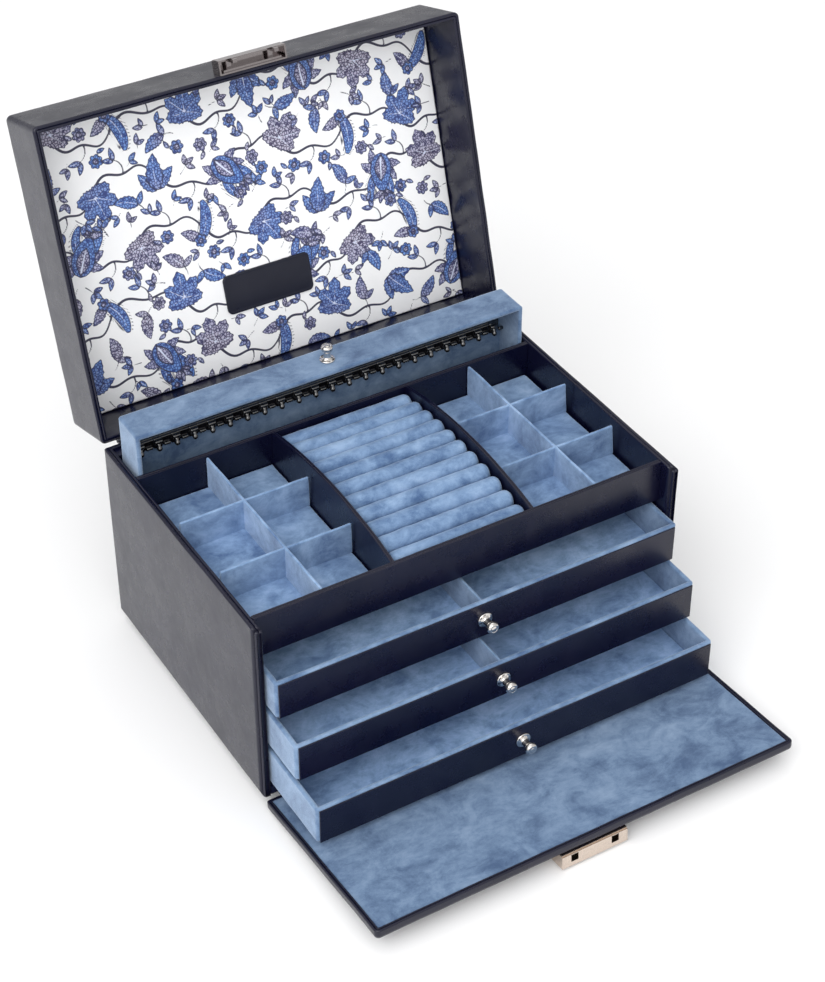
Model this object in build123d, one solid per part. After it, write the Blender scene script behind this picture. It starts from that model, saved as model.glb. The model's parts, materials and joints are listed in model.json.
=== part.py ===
"""A leather jewellery case: lift-up lid, drop-down front flap, three drawers and a pull-up necklace holder.

Frame: millimetres, +X to the right, +Y to the back, +Z up. The origin lies on the table under the middle
of the open case. Lid and flap are drawn in their closed or level place and then turned about their hinges.
"""

import os
from math import cos, radians, sin

from build123d import *

# ---- driving dimensions -------------------------------------------------------------------------
WIDTH = 280.0  # across the case, lid and flap
DEPTH = 193.2  # front edges of the side walls to the outside of the back wall
FOOT_HEIGHT = 7.0
FOOT_RADIUS = 7.5
FOOT_INSET = 18.0  # centres of the feet, from the sides and back
FOOT_FRONT_INSET = 20.0
BODY_HEIGHT = 126.0  # underside of the body to its rim
FRONT = -82.25  # front edges of the side walls, from the origin
WALL = 4.5  # outer walls: board covered with leather

LID_HEIGHT = 45.4
LID_LENGTH = 194.6  # hinge axis to the front face of the lid
LID_WALL = 4.0
LID_TOP = 3.4
LID_OPEN = 106.57  # how far the lid stands open, in degrees
LID_RIM_GAP = 0.4
LINING = 4.6  # thickness of the padded lining under the lid's top
LINING_GAP = 0.6  # from the lining to the lid's walls
PLAQUE = (60.0, 25.0, 1.0)  # width, length towards the hinge, thickness
PLAQUE_CORNER = 3.5
PLAQUE_FROM_HINGE = 52.8

FLAP_LENGTH = 126.2
FLAP_THICKNESS = 6.7
FLAP_GAP = 0.4  # from the case's front to the flap
FLAP_RISE = 4.91  # slope of the lowered flap, in degrees: it rests on its lock
FLAP_BORDER = 3.0
VELOUR = 1.0  # thickness of a velour facing

DRAWER_FACE = 11.5  # a closed drawer's face, behind the front edges of the side walls
DRAWER_HEIGHT = 26.0
DRAWER_PITCH = 29.6
DRAWER_LOWEST = 8.2  # underside of the lowest drawer above the underside of the body
DRAWER_GAP = 1.0  # between a drawer and the side walls
DRAWER_WALL = 3.0
DRAWER_FLOOR = 3.2
DRAWER_LEATHER = 0.8  # leather face in front of a drawer's front wall
DRAWER_LEATHER_INSET = 1.6
DRAWER_BACK_GAP = 1.5  # from a closed drawer to the panel behind it
BOTTOM_GAP = 0.8  # from the case's bottom to the lowest drawer
SHELF = 2.4
SHELF_GAP = 0.6
DRAWER_OPEN = {1: 21.5, 2: 42.5, 3: 64.5}  # how far each drawer stands open, top drawer first

TRAY_BOARD_BOTTOM = 97.2
TRAY_BOARD = 3.0
TRAY_PANEL = 3.0  # front and back panels of the tray
TRAY_FLOOR = 103.3  # top of the velour floor above the underside of the body
WELL_FRONT = 157.0  # front of the necklace holder's well
WELL_BACK_GAP = 0.8
WELL_BACK_DROP = 2.0  # top of the board behind the holder, below the rim
GUIDE_GAP = 0.6
GUIDE_DROP = 6.0
DIVIDER = 1.8
DIVIDER_TOP = 125.0
BLOCK_EDGE = 48.2  # inner edge of each divided block, from the centre line
BLOCK_GAP = 1.8  # between a divided block and the side wall
BLOCK_END_GAP = 0.4  # from a block or the ring cushion to the tray's front and back panels
CROSS_DIVIDERS = (57.0, 107.0)  # behind the case's front
NOTCH_GAP = 0.05

RING_ROLLS = 11
RING_RISE = 8.0  # arch of the partitions beside the ring rolls
RING_ROLL_DROP = 3.0  # crowns of the rolls below the partitions' tops
RING_ROLL_RISE = 7.0  # arch of the rolls' crowns
RING_ROLL_DEPTH = 15.0
RING_ROLL_GAP = 0.3
RING_PARTITION = 2.6
RING_BASE_GAP = 1.6  # from the cushion's base up to the rolls
PARTITION_GAP = 0.6

HOLDER_DEPTH = 24.6
HOLDER_HEIGHT = 118.5
HOLDER_BOARD = 2.8
HOLDER_SIDE_GAP = 2.4
HOLDER_RAISED = 152.8  # top of the raised holder above the underside of the body
HOOKS = 22
HOOK_PITCH = 11.75
HOOK_DROP = 24.5  # hooks below the top of the holder
HOOK_WIRE = 0.55
HOOK_ARM = 2.4  # straight out from the rail
HOOK_BEND = 1.55
HOOK_TIP = 1.45
HOOK_RAIL = 1.4  # thickness of the rail behind the hooks
HOOK_RAIL_HEIGHT = (-2.6, 4.6)  # its lower and upper edge, from the hooks
HOOK_RAIL_INSET = 1.5

KNOB_BASE_RADIUS = 4.8
KNOB_BASE_TOP_RADIUS = 3.0
KNOB_NECK_RADIUS = 2.1
KNOB_HEAD_RADIUS = 3.7
KNOB_BASE_HEIGHT = 2.6
KNOB_HEAD_HEIGHT = 4.4
KNOB_HEAD_ROUND = 1.3
KNOB_LENGTH = 10.4
SHANK_RADIUS = 1.1
SHANK_LENGTH = 2.6

LOCK_WIDTH = 44.0
LOCK_CASE = 8.4
LOCK_PLATE = 0.9
LOCK_LENGTH = 22.0
LOCK_SHELL = 1.0
LOCK_PROUD = 0.8  # the lock's end beyond the flap's edge, and its plate beyond the lock
SLOT_WIDTH = 4.8
SLOT_HEIGHT = 5.0
SLOT_DEPTH = 0.4  # from the plate to the slots
THUMB_PROUD = 0.8
THUMB_PLACE = 9.8  # from the lock's end
THUMB_WIDTH = 5.2
THUMB_LENGTH = 14.4
THUMB_TRAVEL = 4.0
SPRING_RINGS = 8
SPRING_PITCH = 1.1
SPRING_RADIUS = 1.0
SPRING_WIRE = 0.25
BAR = (-16.0, 12.0)  # ends of the sliding bar; the spring starts at the second
BAR_HEIGHT = (0.2, 2.6)  # above the inside of the lock's case
BAR_MARGIN = 1.0  # the bar beyond the thumb, each side
THUMB_GAP = (0.4, 0.6)  # in the window, at the two ends of the thumb's travel
SPRING_SEAT = 0.6  # underside of the spring above the inside of the lock's case
SPRING_LEAD = 0.15  # the spring's first ring nearer the bar than half a pitch
SPRING_GAP = (0.2, 0.1)  # from the spring's core to the bar and to the case
CORE_WIRE = 0.2  # radius of the straight run that ties the spring's rings
CATCH_SPACING = 27.2  # between the lid's two hooks, and between the lock's two slots
CATCH_WIDTH = 2.8
CATCH_PLATE = 1.4
CATCH_PLATE_LOW = 1.2  # lower edge of the hooks' plate above the cover's mouth
CATCH_BEND = (4.6, 5.8)  # the hooks' level tongues, from the cover's mouth
CATCH_TIP = (-5.0, -3.8)  # the hooks' barbs, from the cover's mouth
CATCH_THICKNESS = 1.0
CATCH_BARB = 1.2
CATCH_GAP = 0.1  # from a hook to the inside of the cover
COVER_PROUD = 8.8  # the lid's lock cover in front of the lid
COVER_HEIGHT = 9.4
COVER_ROUND = 2.5

HINGE_RADIUS = 1.7
HINGE_BORE = 0.8
HINGE_PIN = 0.75
HINGE_LENGTH = 260.0
HINGE_KNUCKLES = 13
HINGE_LEAF = 0.6
LEAF_SLOT = 9.2  # depth of the slots that the flap hinge's leaves sit in
LEAF_SLOT_HEIGHT = (-1.8, -1.0)  # of the flap's slot, from the flap's upper face
HINGE_PLATE = 12.0  # reach of the lid hinge's leaves from their axis
HINGE_GAP = 0.3  # round the barrels, and between knuckles

# ---- places worked out from them ----------------------------------------------------------------
HALF = WIDTH / 2
INNER = HALF - WALL
BASE = FOOT_HEIGHT  # underside of the body
RIM = BASE + BODY_HEIGHT
BACK = FRONT + DEPTH
BOTTOM_TOP = BASE + DRAWER_LOWEST - BOTTOM_GAP
TRAY_FRONT = FRONT + DRAWER_FACE + TRAY_PANEL
TRAY_BACK = FRONT + WELL_FRONT - TRAY_PANEL
TRAY_MIDDLE = (TRAY_FRONT + TRAY_BACK) / 2
FLOOR_Z = BASE + TRAY_FLOOR
BOARD_TOP = BASE + TRAY_BOARD_BOTTOM + TRAY_BOARD
HINGE_Y, HINGE_Z = BACK, RIM + LID_RIM_GAP / 2
LID_RIM = RIM + LID_RIM_GAP
LID_BACK = BACK - LID_RIM_GAP
LID_FRONT = BACK - LID_LENGTH
LID_ROOF = LID_RIM + LID_HEIGHT
HOLDER_FRONT = FRONT + WELL_FRONT + 0.5
HOLDER_BACK = HOLDER_FRONT + HOLDER_DEPTH
HOLDER_TOP = BASE + HOLDER_RAISED
HOLDER_HALF = INNER - HOLDER_SIDE_GAP
FLAP_END = FRONT - FLAP_LENGTH

PARTS = {}


def block(x, y, z):
    """A box from three (low, high) pairs."""
    size = (x[1] - x[0], y[1] - y[0], z[1] - z[0])
    middle = (sum(x) / 2, sum(y) / 2, sum(z) / 2)
    return Pos(*middle) * Box(*size)


def rod(radius, x0, x1, y=0.0, z=0.0):
    """A cylinder along X."""
    return Pos((x0 + x1) / 2, y, z) * Rot(0, 90, 0) * Cylinder(radius, x1 - x0)


def mirrored(solid):
    """A solid and its mirror image across the centre plane."""
    return [solid, mirror(solid, Plane.YZ)]


def add(node, *solids):
    """Files one or more separate solids under a node's name."""
    PARTS.setdefault(node, []).extend(solids)


def arch_profile(bottom, ends, rise, y0, y1):
    """A face in the YZ plane: flat below and at the sides, with one shallow arc as its top."""
    arc = ThreePointArc((y0, ends), ((y0 + y1) / 2, ends + rise), (y1, ends))
    sides = Polyline((y1, ends), (y1, bottom), (y0, bottom), (y0, ends))
    return Plane.YZ * make_face(arc.edges() + sides.edges())


def along_x(face, x0, x1):
    """Extrudes a face of the YZ plane from x0 to x1."""
    return Pos(x0, 0, 0) * extrude(face, x1 - x0, dir=(1, 0, 0))


def ring_crown(y):
    """Height of the ring rolls' crowns at y."""
    share = (y - TRAY_MIDDLE) / (TRAY_BACK - TRAY_MIDDLE)
    return RIM - RING_ROLL_DROP + RING_ROLL_RISE * (1 - share**2)


# ---- hinges -------------------------------------------------------------------------------------
def knuckle_spans(first):
    """The (x0, x1) of every second knuckle, starting with the given one."""
    pitch = HINGE_LENGTH / HINGE_KNUCKLES
    starts = [k * pitch - HINGE_LENGTH / 2 for k in range(first, HINGE_KNUCKLES, 2)]
    return [(x + HINGE_GAP / 2, x + pitch - HINGE_GAP / 2) for x in starts]


def hinge_leaf(first, plate_y, plate_z, tab_y, tab_z):
    """One leaf about an axis at the origin: a plate, and a knuckle on a tab for every second place."""
    leaf = block((-HINGE_LENGTH / 2, HINGE_LENGTH / 2), plate_y, plate_z)
    for x0, x1 in knuckle_spans(first):
        leaf += block((x0, x1), tab_y, tab_z)
        leaf += rod(HINGE_RADIUS, x0, x1)
    return leaf - rod(HINGE_BORE, -HALF, HALF)


def hinge_pin():
    """The pin, a little longer than the hinge."""
    end = HINGE_LENGTH / 2 + HINGE_LEAF
    return rod(HINGE_PIN, -end, end)


def hinge_room(y, z):
    """The space that a hinge's barrel takes out of what is beside it."""
    return rod(HINGE_RADIUS + HINGE_GAP, -HALF, HALF, y, z)


# ---- case ---------------------------------------------------------------------------------------
def case_walls():
    """Sides, back and bottom. The bottom takes the flap hinge's leaf in a slot."""
    side = block((-HALF, -INNER), (FRONT, BACK), (BASE, RIM))
    relief = hinge_room(HINGE_Y, HINGE_Z)
    front_relief = hinge_room(FRONT, BASE)
    left, right = mirrored(side - relief - front_relief)
    add("case_left_wall", left)
    add("case_right_wall", right)
    back = block((-INNER, INNER), (BACK - WALL, BACK), (BASE, RIM))
    add("case_back_wall", back - relief)
    bottom = block((-INNER, INNER), (FRONT, BACK - WALL), (BASE, BOTTOM_TOP))
    slot = block((-HALF, HALF), (FRONT, FRONT + LEAF_SLOT), (BASE + 1.0, BASE + 1.8))
    add("case_bottom", bottom - slot - front_relief)


def case_feet():
    """Four round feet, set back from the edges."""
    x, rows = HALF - FOOT_INSET, (FRONT + FOOT_FRONT_INSET, BACK - FOOT_INSET)
    foot = Pos(0, 0, BASE / 2) * Cylinder(FOOT_RADIUS, BASE)
    add("case_feet", *[Pos(side * x, y, 0) * foot for side in (-1, 1) for y in rows])


def drawer_bay():
    """Shelves between the drawers, the tray's board above them and the panel behind them."""
    deep = (FRONT + DRAWER_FACE + DRAWER_GAP, TRAY_BACK)
    for k in range(2):
        z = BASE + DRAWER_LOWEST + DRAWER_HEIGHT + k * DRAWER_PITCH + SHELF_GAP
        add("drawer_shelves", block((-INNER, INNER), deep, (z, z + SHELF)))
    board = block((-INNER, INNER), (TRAY_FRONT, TRAY_BACK), (BOARD_TOP - TRAY_BOARD, BOARD_TOP))
    add("tray_board", board)
    front = block(
        (-INNER, INNER),
        (FRONT + DRAWER_FACE, TRAY_FRONT),
        (BASE + TRAY_BOARD_BOTTOM, RIM),
    )
    add("tray_front_panel", front)
    panel = block((-INNER, INNER), (TRAY_BACK, FRONT + WELL_FRONT), (BOTTOM_TOP, RIM))
    add("well_front_panel", panel)


def well_guides():
    """Two upright strips that the necklace holder slides between, and the board behind it."""
    x = (-INNER, -HOLDER_HALF - GUIDE_GAP)
    z = (BOTTOM_TOP, RIM - GUIDE_DROP)
    add("holder_guides", *mirrored(block(x, (HOLDER_FRONT, HOLDER_BACK), z)))
    y = (HOLDER_BACK + WELL_BACK_GAP, BACK - WALL)
    back = block((-INNER, INNER), y, (BOTTOM_TOP, RIM - WELL_BACK_DROP))
    add("well_back_board", back)


def tray_blocks():
    """Two divided blocks: a velour floor, one long divider and two cross dividers, lapped together."""
    y = (TRAY_FRONT + BLOCK_END_GAP, TRAY_BACK - BLOCK_END_GAP)
    outer = INNER - BLOCK_GAP
    middle = (BLOCK_EDGE + outer) / 2
    z = (FLOOR_Z, BASE + DIVIDER_TOP)
    half_height = sum(z) / 2
    pad = block((BLOCK_EDGE, outer), y, (BOARD_TOP, FLOOR_Z))
    add("tray_floor_pads", *mirrored(pad))
    long_divider = block((middle - DIVIDER / 2, middle + DIVIDER / 2), y, z)
    notch = DIVIDER / 2 + NOTCH_GAP
    for at in [FRONT + distance for distance in CROSS_DIVIDERS]:
        long_divider -= block((0, HALF), (at - notch, at + notch), (half_height, z[1]))
        cross = block((BLOCK_EDGE, outer), (at - DIVIDER / 2, at + DIVIDER / 2), z)
        cross -= block((middle - notch, middle + notch), (at - DIVIDER, at + DIVIDER), (z[0], half_height))
        add("tray_cross_dividers", *mirrored(cross))
    add("tray_long_dividers", *mirrored(long_divider))


def ring_section():
    """The ring cushion: arched partitions, an arched base and half-round rolls side by side."""
    x = (BLOCK_EDGE - PARTITION_GAP - RING_PARTITION, BLOCK_EDGE - PARTITION_GAP)
    profile = arch_profile(BOARD_TOP, RIM, RING_RISE, TRAY_FRONT, TRAY_BACK)
    add("ring_partitions", *mirrored(along_x(profile, *x)))
    half = x[0] - PARTITION_GAP
    y = (TRAY_FRONT + BLOCK_END_GAP, TRAY_BACK - BLOCK_END_GAP)
    ends = RIM - RING_ROLL_DROP - RING_ROLL_DEPTH - RING_BASE_GAP
    base = arch_profile(BOARD_TOP, ends, RING_ROLL_RISE, *y)
    add("ring_cushion_base", along_x(base, -half, half))
    pitch = (y[1] - y[0]) / RING_ROLLS
    radius = (pitch - RING_ROLL_GAP) / 2
    for k in range(RING_ROLLS):
        at = y[0] + pitch * (k + 0.5)
        crown = ring_crown(at)
        roll = rod(radius, -half, half, at, crown - radius)
        z = (crown - RING_ROLL_DEPTH, crown - radius)
        roll += block((-half, half), (at - radius, at + radius), z)
        add("ring_rolls", roll)


# ---- drawers ------------------------------------------------------------------------------------
def knob():
    """A turned knob along +Z from its seat at the origin, with its threaded shank below."""
    base = Pos(0, 0, KNOB_BASE_HEIGHT / 2) * Cone(KNOB_BASE_RADIUS, KNOB_BASE_TOP_RADIUS, KNOB_BASE_HEIGHT)
    neck = Pos(0, 0, KNOB_LENGTH / 2) * Cylinder(KNOB_NECK_RADIUS, KNOB_LENGTH / 2)
    head = Pos(0, 0, KNOB_LENGTH - KNOB_HEAD_HEIGHT / 2) * Cylinder(KNOB_HEAD_RADIUS, KNOB_HEAD_HEIGHT)
    head = fillet(head.edges(), KNOB_HEAD_ROUND)
    shank = Pos(0, 0, -SHANK_LENGTH / 2) * Cylinder(SHANK_RADIUS, SHANK_LENGTH)
    return base + neck + head + shank


def drawer(number):
    """One drawer, top drawer first: base, three walls, front wall, leather face, divider and knob."""
    name = f"drawer_{number}_"
    half = INNER - DRAWER_GAP
    low = BASE + DRAWER_LOWEST + (3 - number) * DRAWER_PITCH
    high = low + DRAWER_HEIGHT
    face = FRONT + DRAWER_FACE - DRAWER_OPEN[number]
    back = TRAY_BACK - DRAWER_BACK_GAP - DRAWER_OPEN[number]
    front = face + DRAWER_LEATHER
    floor = low + DRAWER_FLOOR
    inner = half - DRAWER_WALL
    add(name + "base", block((-inner, inner), (front + DRAWER_WALL, back - DRAWER_WALL), (low, floor)))
    side = block((-half, -inner), (front, back), (low, high))
    rear = block((-inner, inner), (back - DRAWER_WALL, back), (low, high))
    add(name + "walls", *mirrored(side), rear)
    hole = Pos(0, front, (low + high) / 2) * Rot(90, 0, 0) * Cylinder(SHANK_RADIUS, 4 * DRAWER_WALL)
    wall = block((-inner, inner), (front, front + DRAWER_WALL), (low, high))
    add(name + "front", wall - hole)
    wide = half - DRAWER_LEATHER_INSET
    leather = block((-wide, wide), (face, front), (low, high - DRAWER_LEATHER / 2))
    add(name + "face", leather - hole)
    if number < 3:
        y = (front + DRAWER_WALL, back - DRAWER_WALL)
        add(name + "divider", block((-DIVIDER / 2, DIVIDER / 2), y, (floor, high - DRAWER_WALL / 2)))
    add(name + "knob", Pos(0, face, (low + high) / 2) * Rot(90, 0, 0) * knob())


# ---- necklace holder ----------------------------------------------------------------------------
def hook():
    """One wire hook pointing to -Y from its seat at the origin, turned up at its end."""
    out = -HOOK_ARM - HOOK_BEND
    arm = Line((0, 0, 0), (0, -HOOK_ARM, 0))
    bend = TangentArc((0, -HOOK_ARM, 0), (0, out, HOOK_BEND), tangent=(0, -1, 0))
    tip = Line((0, out, HOOK_BEND), (0, out, HOOK_BEND + HOOK_TIP))
    path = Wire(arm.edges() + bend.edges() + tip.edges())
    return sweep(Plane.XZ * Circle(HOOK_WIRE), path)


def necklace_holder():
    """An open-fronted box that slides up out of its well, with a rail of hooks and a knob on top."""
    low = HOLDER_TOP - HOLDER_HEIGHT
    y = (HOLDER_FRONT, HOLDER_BACK)
    inner = HOLDER_HALF - HOLDER_BOARD
    middle = sum(y) / 2
    top = block((-HOLDER_HALF, HOLDER_HALF), y, (HOLDER_TOP - HOLDER_BOARD, HOLDER_TOP))
    hole = Pos(0, middle, HOLDER_TOP) * Cylinder(SHANK_RADIUS, 4 * HOLDER_BOARD)
    add("holder_top", top - hole)
    side = block((-HOLDER_HALF, -inner), y, (low, HOLDER_TOP - HOLDER_BOARD))
    add("holder_sides", *mirrored(side))
    back = block((-inner, inner), (y[1] - HOLDER_BOARD, y[1]), (low, HOLDER_TOP - HOLDER_BOARD))
    add("holder_back", back)
    bottom = block((-inner, inner), (y[0], y[1] - HOLDER_BOARD), (low, low + HOLDER_BOARD))
    add("holder_bottom", bottom)
    face = y[1] - HOLDER_BOARD
    z = HOLDER_TOP - HOOK_DROP
    wide = inner - HOOK_RAIL_INSET
    rail_z = (z + HOOK_RAIL_HEIGHT[0], z + HOOK_RAIL_HEIGHT[1])
    add("hook_rail", block((-wide, wide), (face - HOOK_RAIL, face), rail_z))
    for k in range(HOOKS):
        x = (k - (HOOKS - 1) / 2) * HOOK_PITCH
        add("necklace_hooks", Pos(x, face - HOOK_RAIL, z) * hook())
    add("holder_knob", Pos(0, middle, HOLDER_TOP) * knob())


# ---- lid ----------------------------------------------------------------------------------------
def lid_parts():
    """The lid's pieces in the closed place, by node name."""
    roof = LID_ROOF - LID_TOP
    walls_z = (LID_RIM, roof)
    relief = hinge_room(HINGE_Y, HINGE_Z)
    side = block((-HALF, -HALF + LID_WALL), (LID_FRONT, LID_BACK), walls_z) - relief
    left, right = mirrored(side)
    inner = HALF - LID_WALL
    y = (LID_FRONT + LID_WALL, LID_BACK - LID_WALL)
    pieces = {
        "lid_top": [block((-HALF, HALF), (LID_FRONT, LID_BACK), (roof, LID_ROOF))],
        "lid_left_wall": [left],
        "lid_right_wall": [right],
        "lid_front_wall": [block((-inner, inner), (LID_FRONT, y[0]), walls_z)],
        "lid_back_wall": [block((-inner, inner), (y[1], LID_BACK), walls_z) - relief],
    }
    wide = inner - LINING_GAP
    pad = block((-wide, wide), (y[0] + LINING_GAP, y[1] - LINING_GAP), (roof - LINING, roof))
    pieces["lid_lining"] = [pad]
    place = Pos(0, BACK - PLAQUE_FROM_HINGE, roof - LINING - PLAQUE[2] / 2)
    plaque = place * Box(*PLAQUE)
    pieces["lid_plaque"] = [fillet(plaque.edges().filter_by(Axis.Z), PLAQUE_CORNER)]
    return pieces


def lid_catch():
    """The lid's lock cover, open below, and the two hooks on a plate inside it, in the closed place."""
    half = LOCK_WIDTH / 2
    shell = LOCK_SHELL
    z0 = LID_RIM + HINGE_GAP
    z1 = z0 + COVER_HEIGHT
    front = LID_FRONT - COVER_PROUD
    cover = block((-half, half), (front, LID_FRONT), (z0, z1))
    outer_edge = cover.edges().filter_by(Axis.X).group_by(Axis.Z)[-1].sort_by(Axis.Y)[0]
    cover = fillet(outer_edge, COVER_ROUND)
    hollow_y = (front + shell, LID_FRONT - shell)
    cover -= block((-half + shell, half - shell), hollow_y, (z0 - shell, z1 - shell))
    y = (hollow_y[1] - CATCH_PLATE, hollow_y[1])
    plate = block((-half + 3 * shell, half - 3 * shell), y, (z0 + CATCH_PLATE_LOW, z1 - shell))
    inside = hollow_y[0] + CATCH_GAP
    bend_z = (z0 + CATCH_BEND[0], z0 + CATCH_BEND[1])
    tip_z = (z0 + CATCH_TIP[0], z0 + CATCH_TIP[1])
    for side in (-1, 1):
        x = (side * CATCH_SPACING / 2 - CATCH_WIDTH / 2, side * CATCH_SPACING / 2 + CATCH_WIDTH / 2)
        tongue = block(x, (inside, y[0]), bend_z)
        drop = block(x, (inside, inside + CATCH_THICKNESS), (tip_z[0], bend_z[1]))
        barb = block(x, (inside - CATCH_BARB, inside), tip_z)
        plate += tongue + drop + barb
    return {"lid_lock_cover": [cover], "lid_catch": [plate]}


def lid():
    """The whole lid with its hinge leaf, swung open about the hinge."""
    pieces = {**lid_parts(), **lid_catch()}
    tab = HINGE_RADIUS + HINGE_GAP
    lid_y = (-LID_RIM_GAP, HINGE_LEAF - LID_RIM_GAP)
    leaf = hinge_leaf(1, lid_y, (tab, HINGE_PLATE), lid_y, (0.0, tab + 0.2))
    pieces["lid_hinge_leaf"] = [Pos(0, HINGE_Y, HINGE_Z) * leaf]
    axis = Axis((0, HINGE_Y, HINGE_Z), (1, 0, 0))
    for node, solids in pieces.items():
        add(node, *[s.rotate(axis, -LID_OPEN) for s in solids])
    case_y = (0.0, HINGE_LEAF)
    fixed = hinge_leaf(0, case_y, (-HINGE_PLATE, -tab), case_y, (-tab - 0.2, 0.0))
    add("case_hinge_leaves", Pos(0, HINGE_Y, HINGE_Z) * fixed)
    add("hinge_pins", Pos(0, HINGE_Y, HINGE_Z) * hinge_pin())


# ---- flap ---------------------------------------------------------------------------------------
def flap_board():
    """The flap's board with its raised leather border, and the velour facing inside that border."""
    z0 = BASE - FLAP_THICKNESS
    near = FRONT - FLAP_GAP
    board = block((-HALF, HALF), (FLAP_END, near), (z0, BASE))
    inside = (-HALF + FLAP_BORDER, HALF - FLAP_BORDER)
    board -= block(inside, (FLAP_END + FLAP_BORDER, near), (BASE - VELOUR, BASE + 1))
    board -= hinge_room(FRONT, BASE)
    slot_x = (-HINGE_LENGTH / 2 - 1, HINGE_LENGTH / 2 + 1)
    slot_z = (BASE + LEAF_SLOT_HEIGHT[0], BASE + LEAF_SLOT_HEIGHT[1])
    board -= block(slot_x, (FRONT - LEAF_SLOT, FRONT), slot_z)
    edge = 0.1
    velour_y = (FLAP_END + FLAP_BORDER + edge, near - HINGE_RADIUS)
    velour = block((inside[0] + edge, inside[1] - edge), velour_y, (BASE - VELOUR, BASE))
    return {"flap_board": [board], "flap_velour": [velour]}


def flap_lock():
    """The lock under the flap's free edge: plate, hollow case with two slots, sliding thumb and spring."""
    half = LOCK_WIDTH / 2
    face = BASE - FLAP_THICKNESS
    end = FLAP_END - LOCK_PROUD
    y = (end, end + LOCK_LENGTH)
    plate = block((-half, half), (FLAP_END, y[1] + LOCK_PROUD), (face - LOCK_PLATE, face))
    z = (face - LOCK_PLATE - LOCK_CASE, face - LOCK_PLATE)
    shell = LOCK_SHELL
    case = block((-half, half), y, z)
    room_x = (-half + shell, half - shell)
    case -= block(room_x, (y[0] + shell, y[1] - shell), (z[0] + shell, z[1] + shell))
    slot_z = (z[1] - SLOT_DEPTH - SLOT_HEIGHT, z[1] - SLOT_DEPTH)
    for side in (-1, 1):
        x = side * CATCH_SPACING / 2
        slot_x = (x - SLOT_WIDTH / 2, x + SLOT_WIDTH / 2)
        case -= block(slot_x, (y[0] - shell, y[0] + 2 * shell), slot_z)
    at, wide = end + THUMB_PLACE, THUMB_WIDTH / 2
    window_x = (-THUMB_LENGTH / 2 - THUMB_GAP[0], THUMB_LENGTH / 2 + THUMB_TRAVEL + THUMB_GAP[1])
    window_y = (at - wide - HINGE_GAP, at + wide + HINGE_GAP)
    case -= block(window_x, window_y, (z[0] - shell, z[0] + 2 * shell))
    inside = z[0] + shell
    bar_y = (at - wide - BAR_MARGIN, at + wide + BAR_MARGIN)
    bar = block(BAR, bar_y, (inside + BAR_HEIGHT[0], inside + BAR_HEIGHT[1]))
    button_x = (-THUMB_LENGTH / 2, THUMB_LENGTH / 2)
    bar += block(button_x, (at - wide, at + wide), (z[0] - THUMB_PROUD, inside + BAR_HEIGHT[1] / 2))
    start = BAR[1] + SPRING_PITCH / 2 - SPRING_LEAD
    seat = inside + SPRING_SEAT
    spring = rod(CORE_WIRE, BAR[1] + SPRING_GAP[0], room_x[1] - SPRING_GAP[1], at, seat)
    for k in range(SPRING_RINGS):
        ring = Rot(0, 90, 0) * Torus(SPRING_RADIUS, SPRING_WIRE)
        spring += Pos(start + SPRING_PITCH * k, at, seat + SPRING_RADIUS) * ring
    return {"lock_plate": [plate], "lock_case": [case], "lock_thumb": [bar], "lock_spring": [spring]}


def flap():
    """The whole flap with its hinge leaf, lowered about the hinge until it rests on its lock."""
    pieces = {**flap_board(), **flap_lock()}
    leaf = hinge_leaf(1, (-9.0, -2.0), (-1.6, -1.0), (-2.2, 0.0), (-1.6, -1.0))
    pieces["flap_hinge_leaf"] = [Pos(0, FRONT, BASE) * leaf]
    axis = Axis((0, FRONT, BASE), (1, 0, 0))
    for node, solids in pieces.items():
        add(node, *[s.rotate(axis, -FLAP_RISE) for s in solids])
    fixed = hinge_leaf(0, (2.0, 9.0), (1.1, 1.7), (0.0, 2.2), (1.1, 1.7))
    add("case_hinge_leaves", Pos(0, FRONT, BASE) * fixed)
    add("hinge_pins", Pos(0, FRONT, BASE) * hinge_pin())


def main():
    """Builds every piece and writes one STEP file for each node."""
    case_walls()
    case_feet()
    drawer_bay()
    well_guides()
    tray_blocks()
    ring_section()
    for number in DRAWER_OPEN:
        drawer(number)
    necklace_holder()
    lid()
    flap()
    os.makedirs("parts", exist_ok=True)
    for node, solids in PARTS.items():
        shape = solids[0] if len(solids) == 1 else Compound(children=list(solids))
        export_step(shape, f"parts/{node}.step")
    print(len(PARTS), "nodes")


main()
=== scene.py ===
import json
import math
import random

import bmesh
import bpy
import numpy as np
from mathutils import Matrix, Vector


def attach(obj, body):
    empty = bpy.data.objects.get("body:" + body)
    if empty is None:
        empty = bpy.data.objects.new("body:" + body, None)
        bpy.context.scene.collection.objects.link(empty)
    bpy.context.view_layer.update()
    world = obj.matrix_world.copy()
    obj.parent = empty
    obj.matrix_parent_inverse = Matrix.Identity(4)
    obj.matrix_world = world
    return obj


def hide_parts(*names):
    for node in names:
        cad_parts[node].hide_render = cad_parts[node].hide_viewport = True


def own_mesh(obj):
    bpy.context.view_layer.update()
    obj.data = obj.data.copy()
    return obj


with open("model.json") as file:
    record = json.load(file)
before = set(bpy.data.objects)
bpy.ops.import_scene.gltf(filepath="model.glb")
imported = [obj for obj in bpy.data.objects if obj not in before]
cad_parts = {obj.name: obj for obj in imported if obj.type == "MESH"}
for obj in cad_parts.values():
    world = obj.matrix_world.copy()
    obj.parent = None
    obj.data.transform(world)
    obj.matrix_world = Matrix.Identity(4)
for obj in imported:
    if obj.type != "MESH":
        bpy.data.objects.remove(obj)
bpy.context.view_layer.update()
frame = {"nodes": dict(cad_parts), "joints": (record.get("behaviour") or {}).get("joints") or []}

# A leather jewellery case with velour trays. Shapes are worked out in millimetres, in the frame's
# axes, and turned into metres when a piece is made. Lid and flap are shaped shut or level, and then
# turned about their hinges to where the frame has them.
TO_METRES = 0.001
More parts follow.
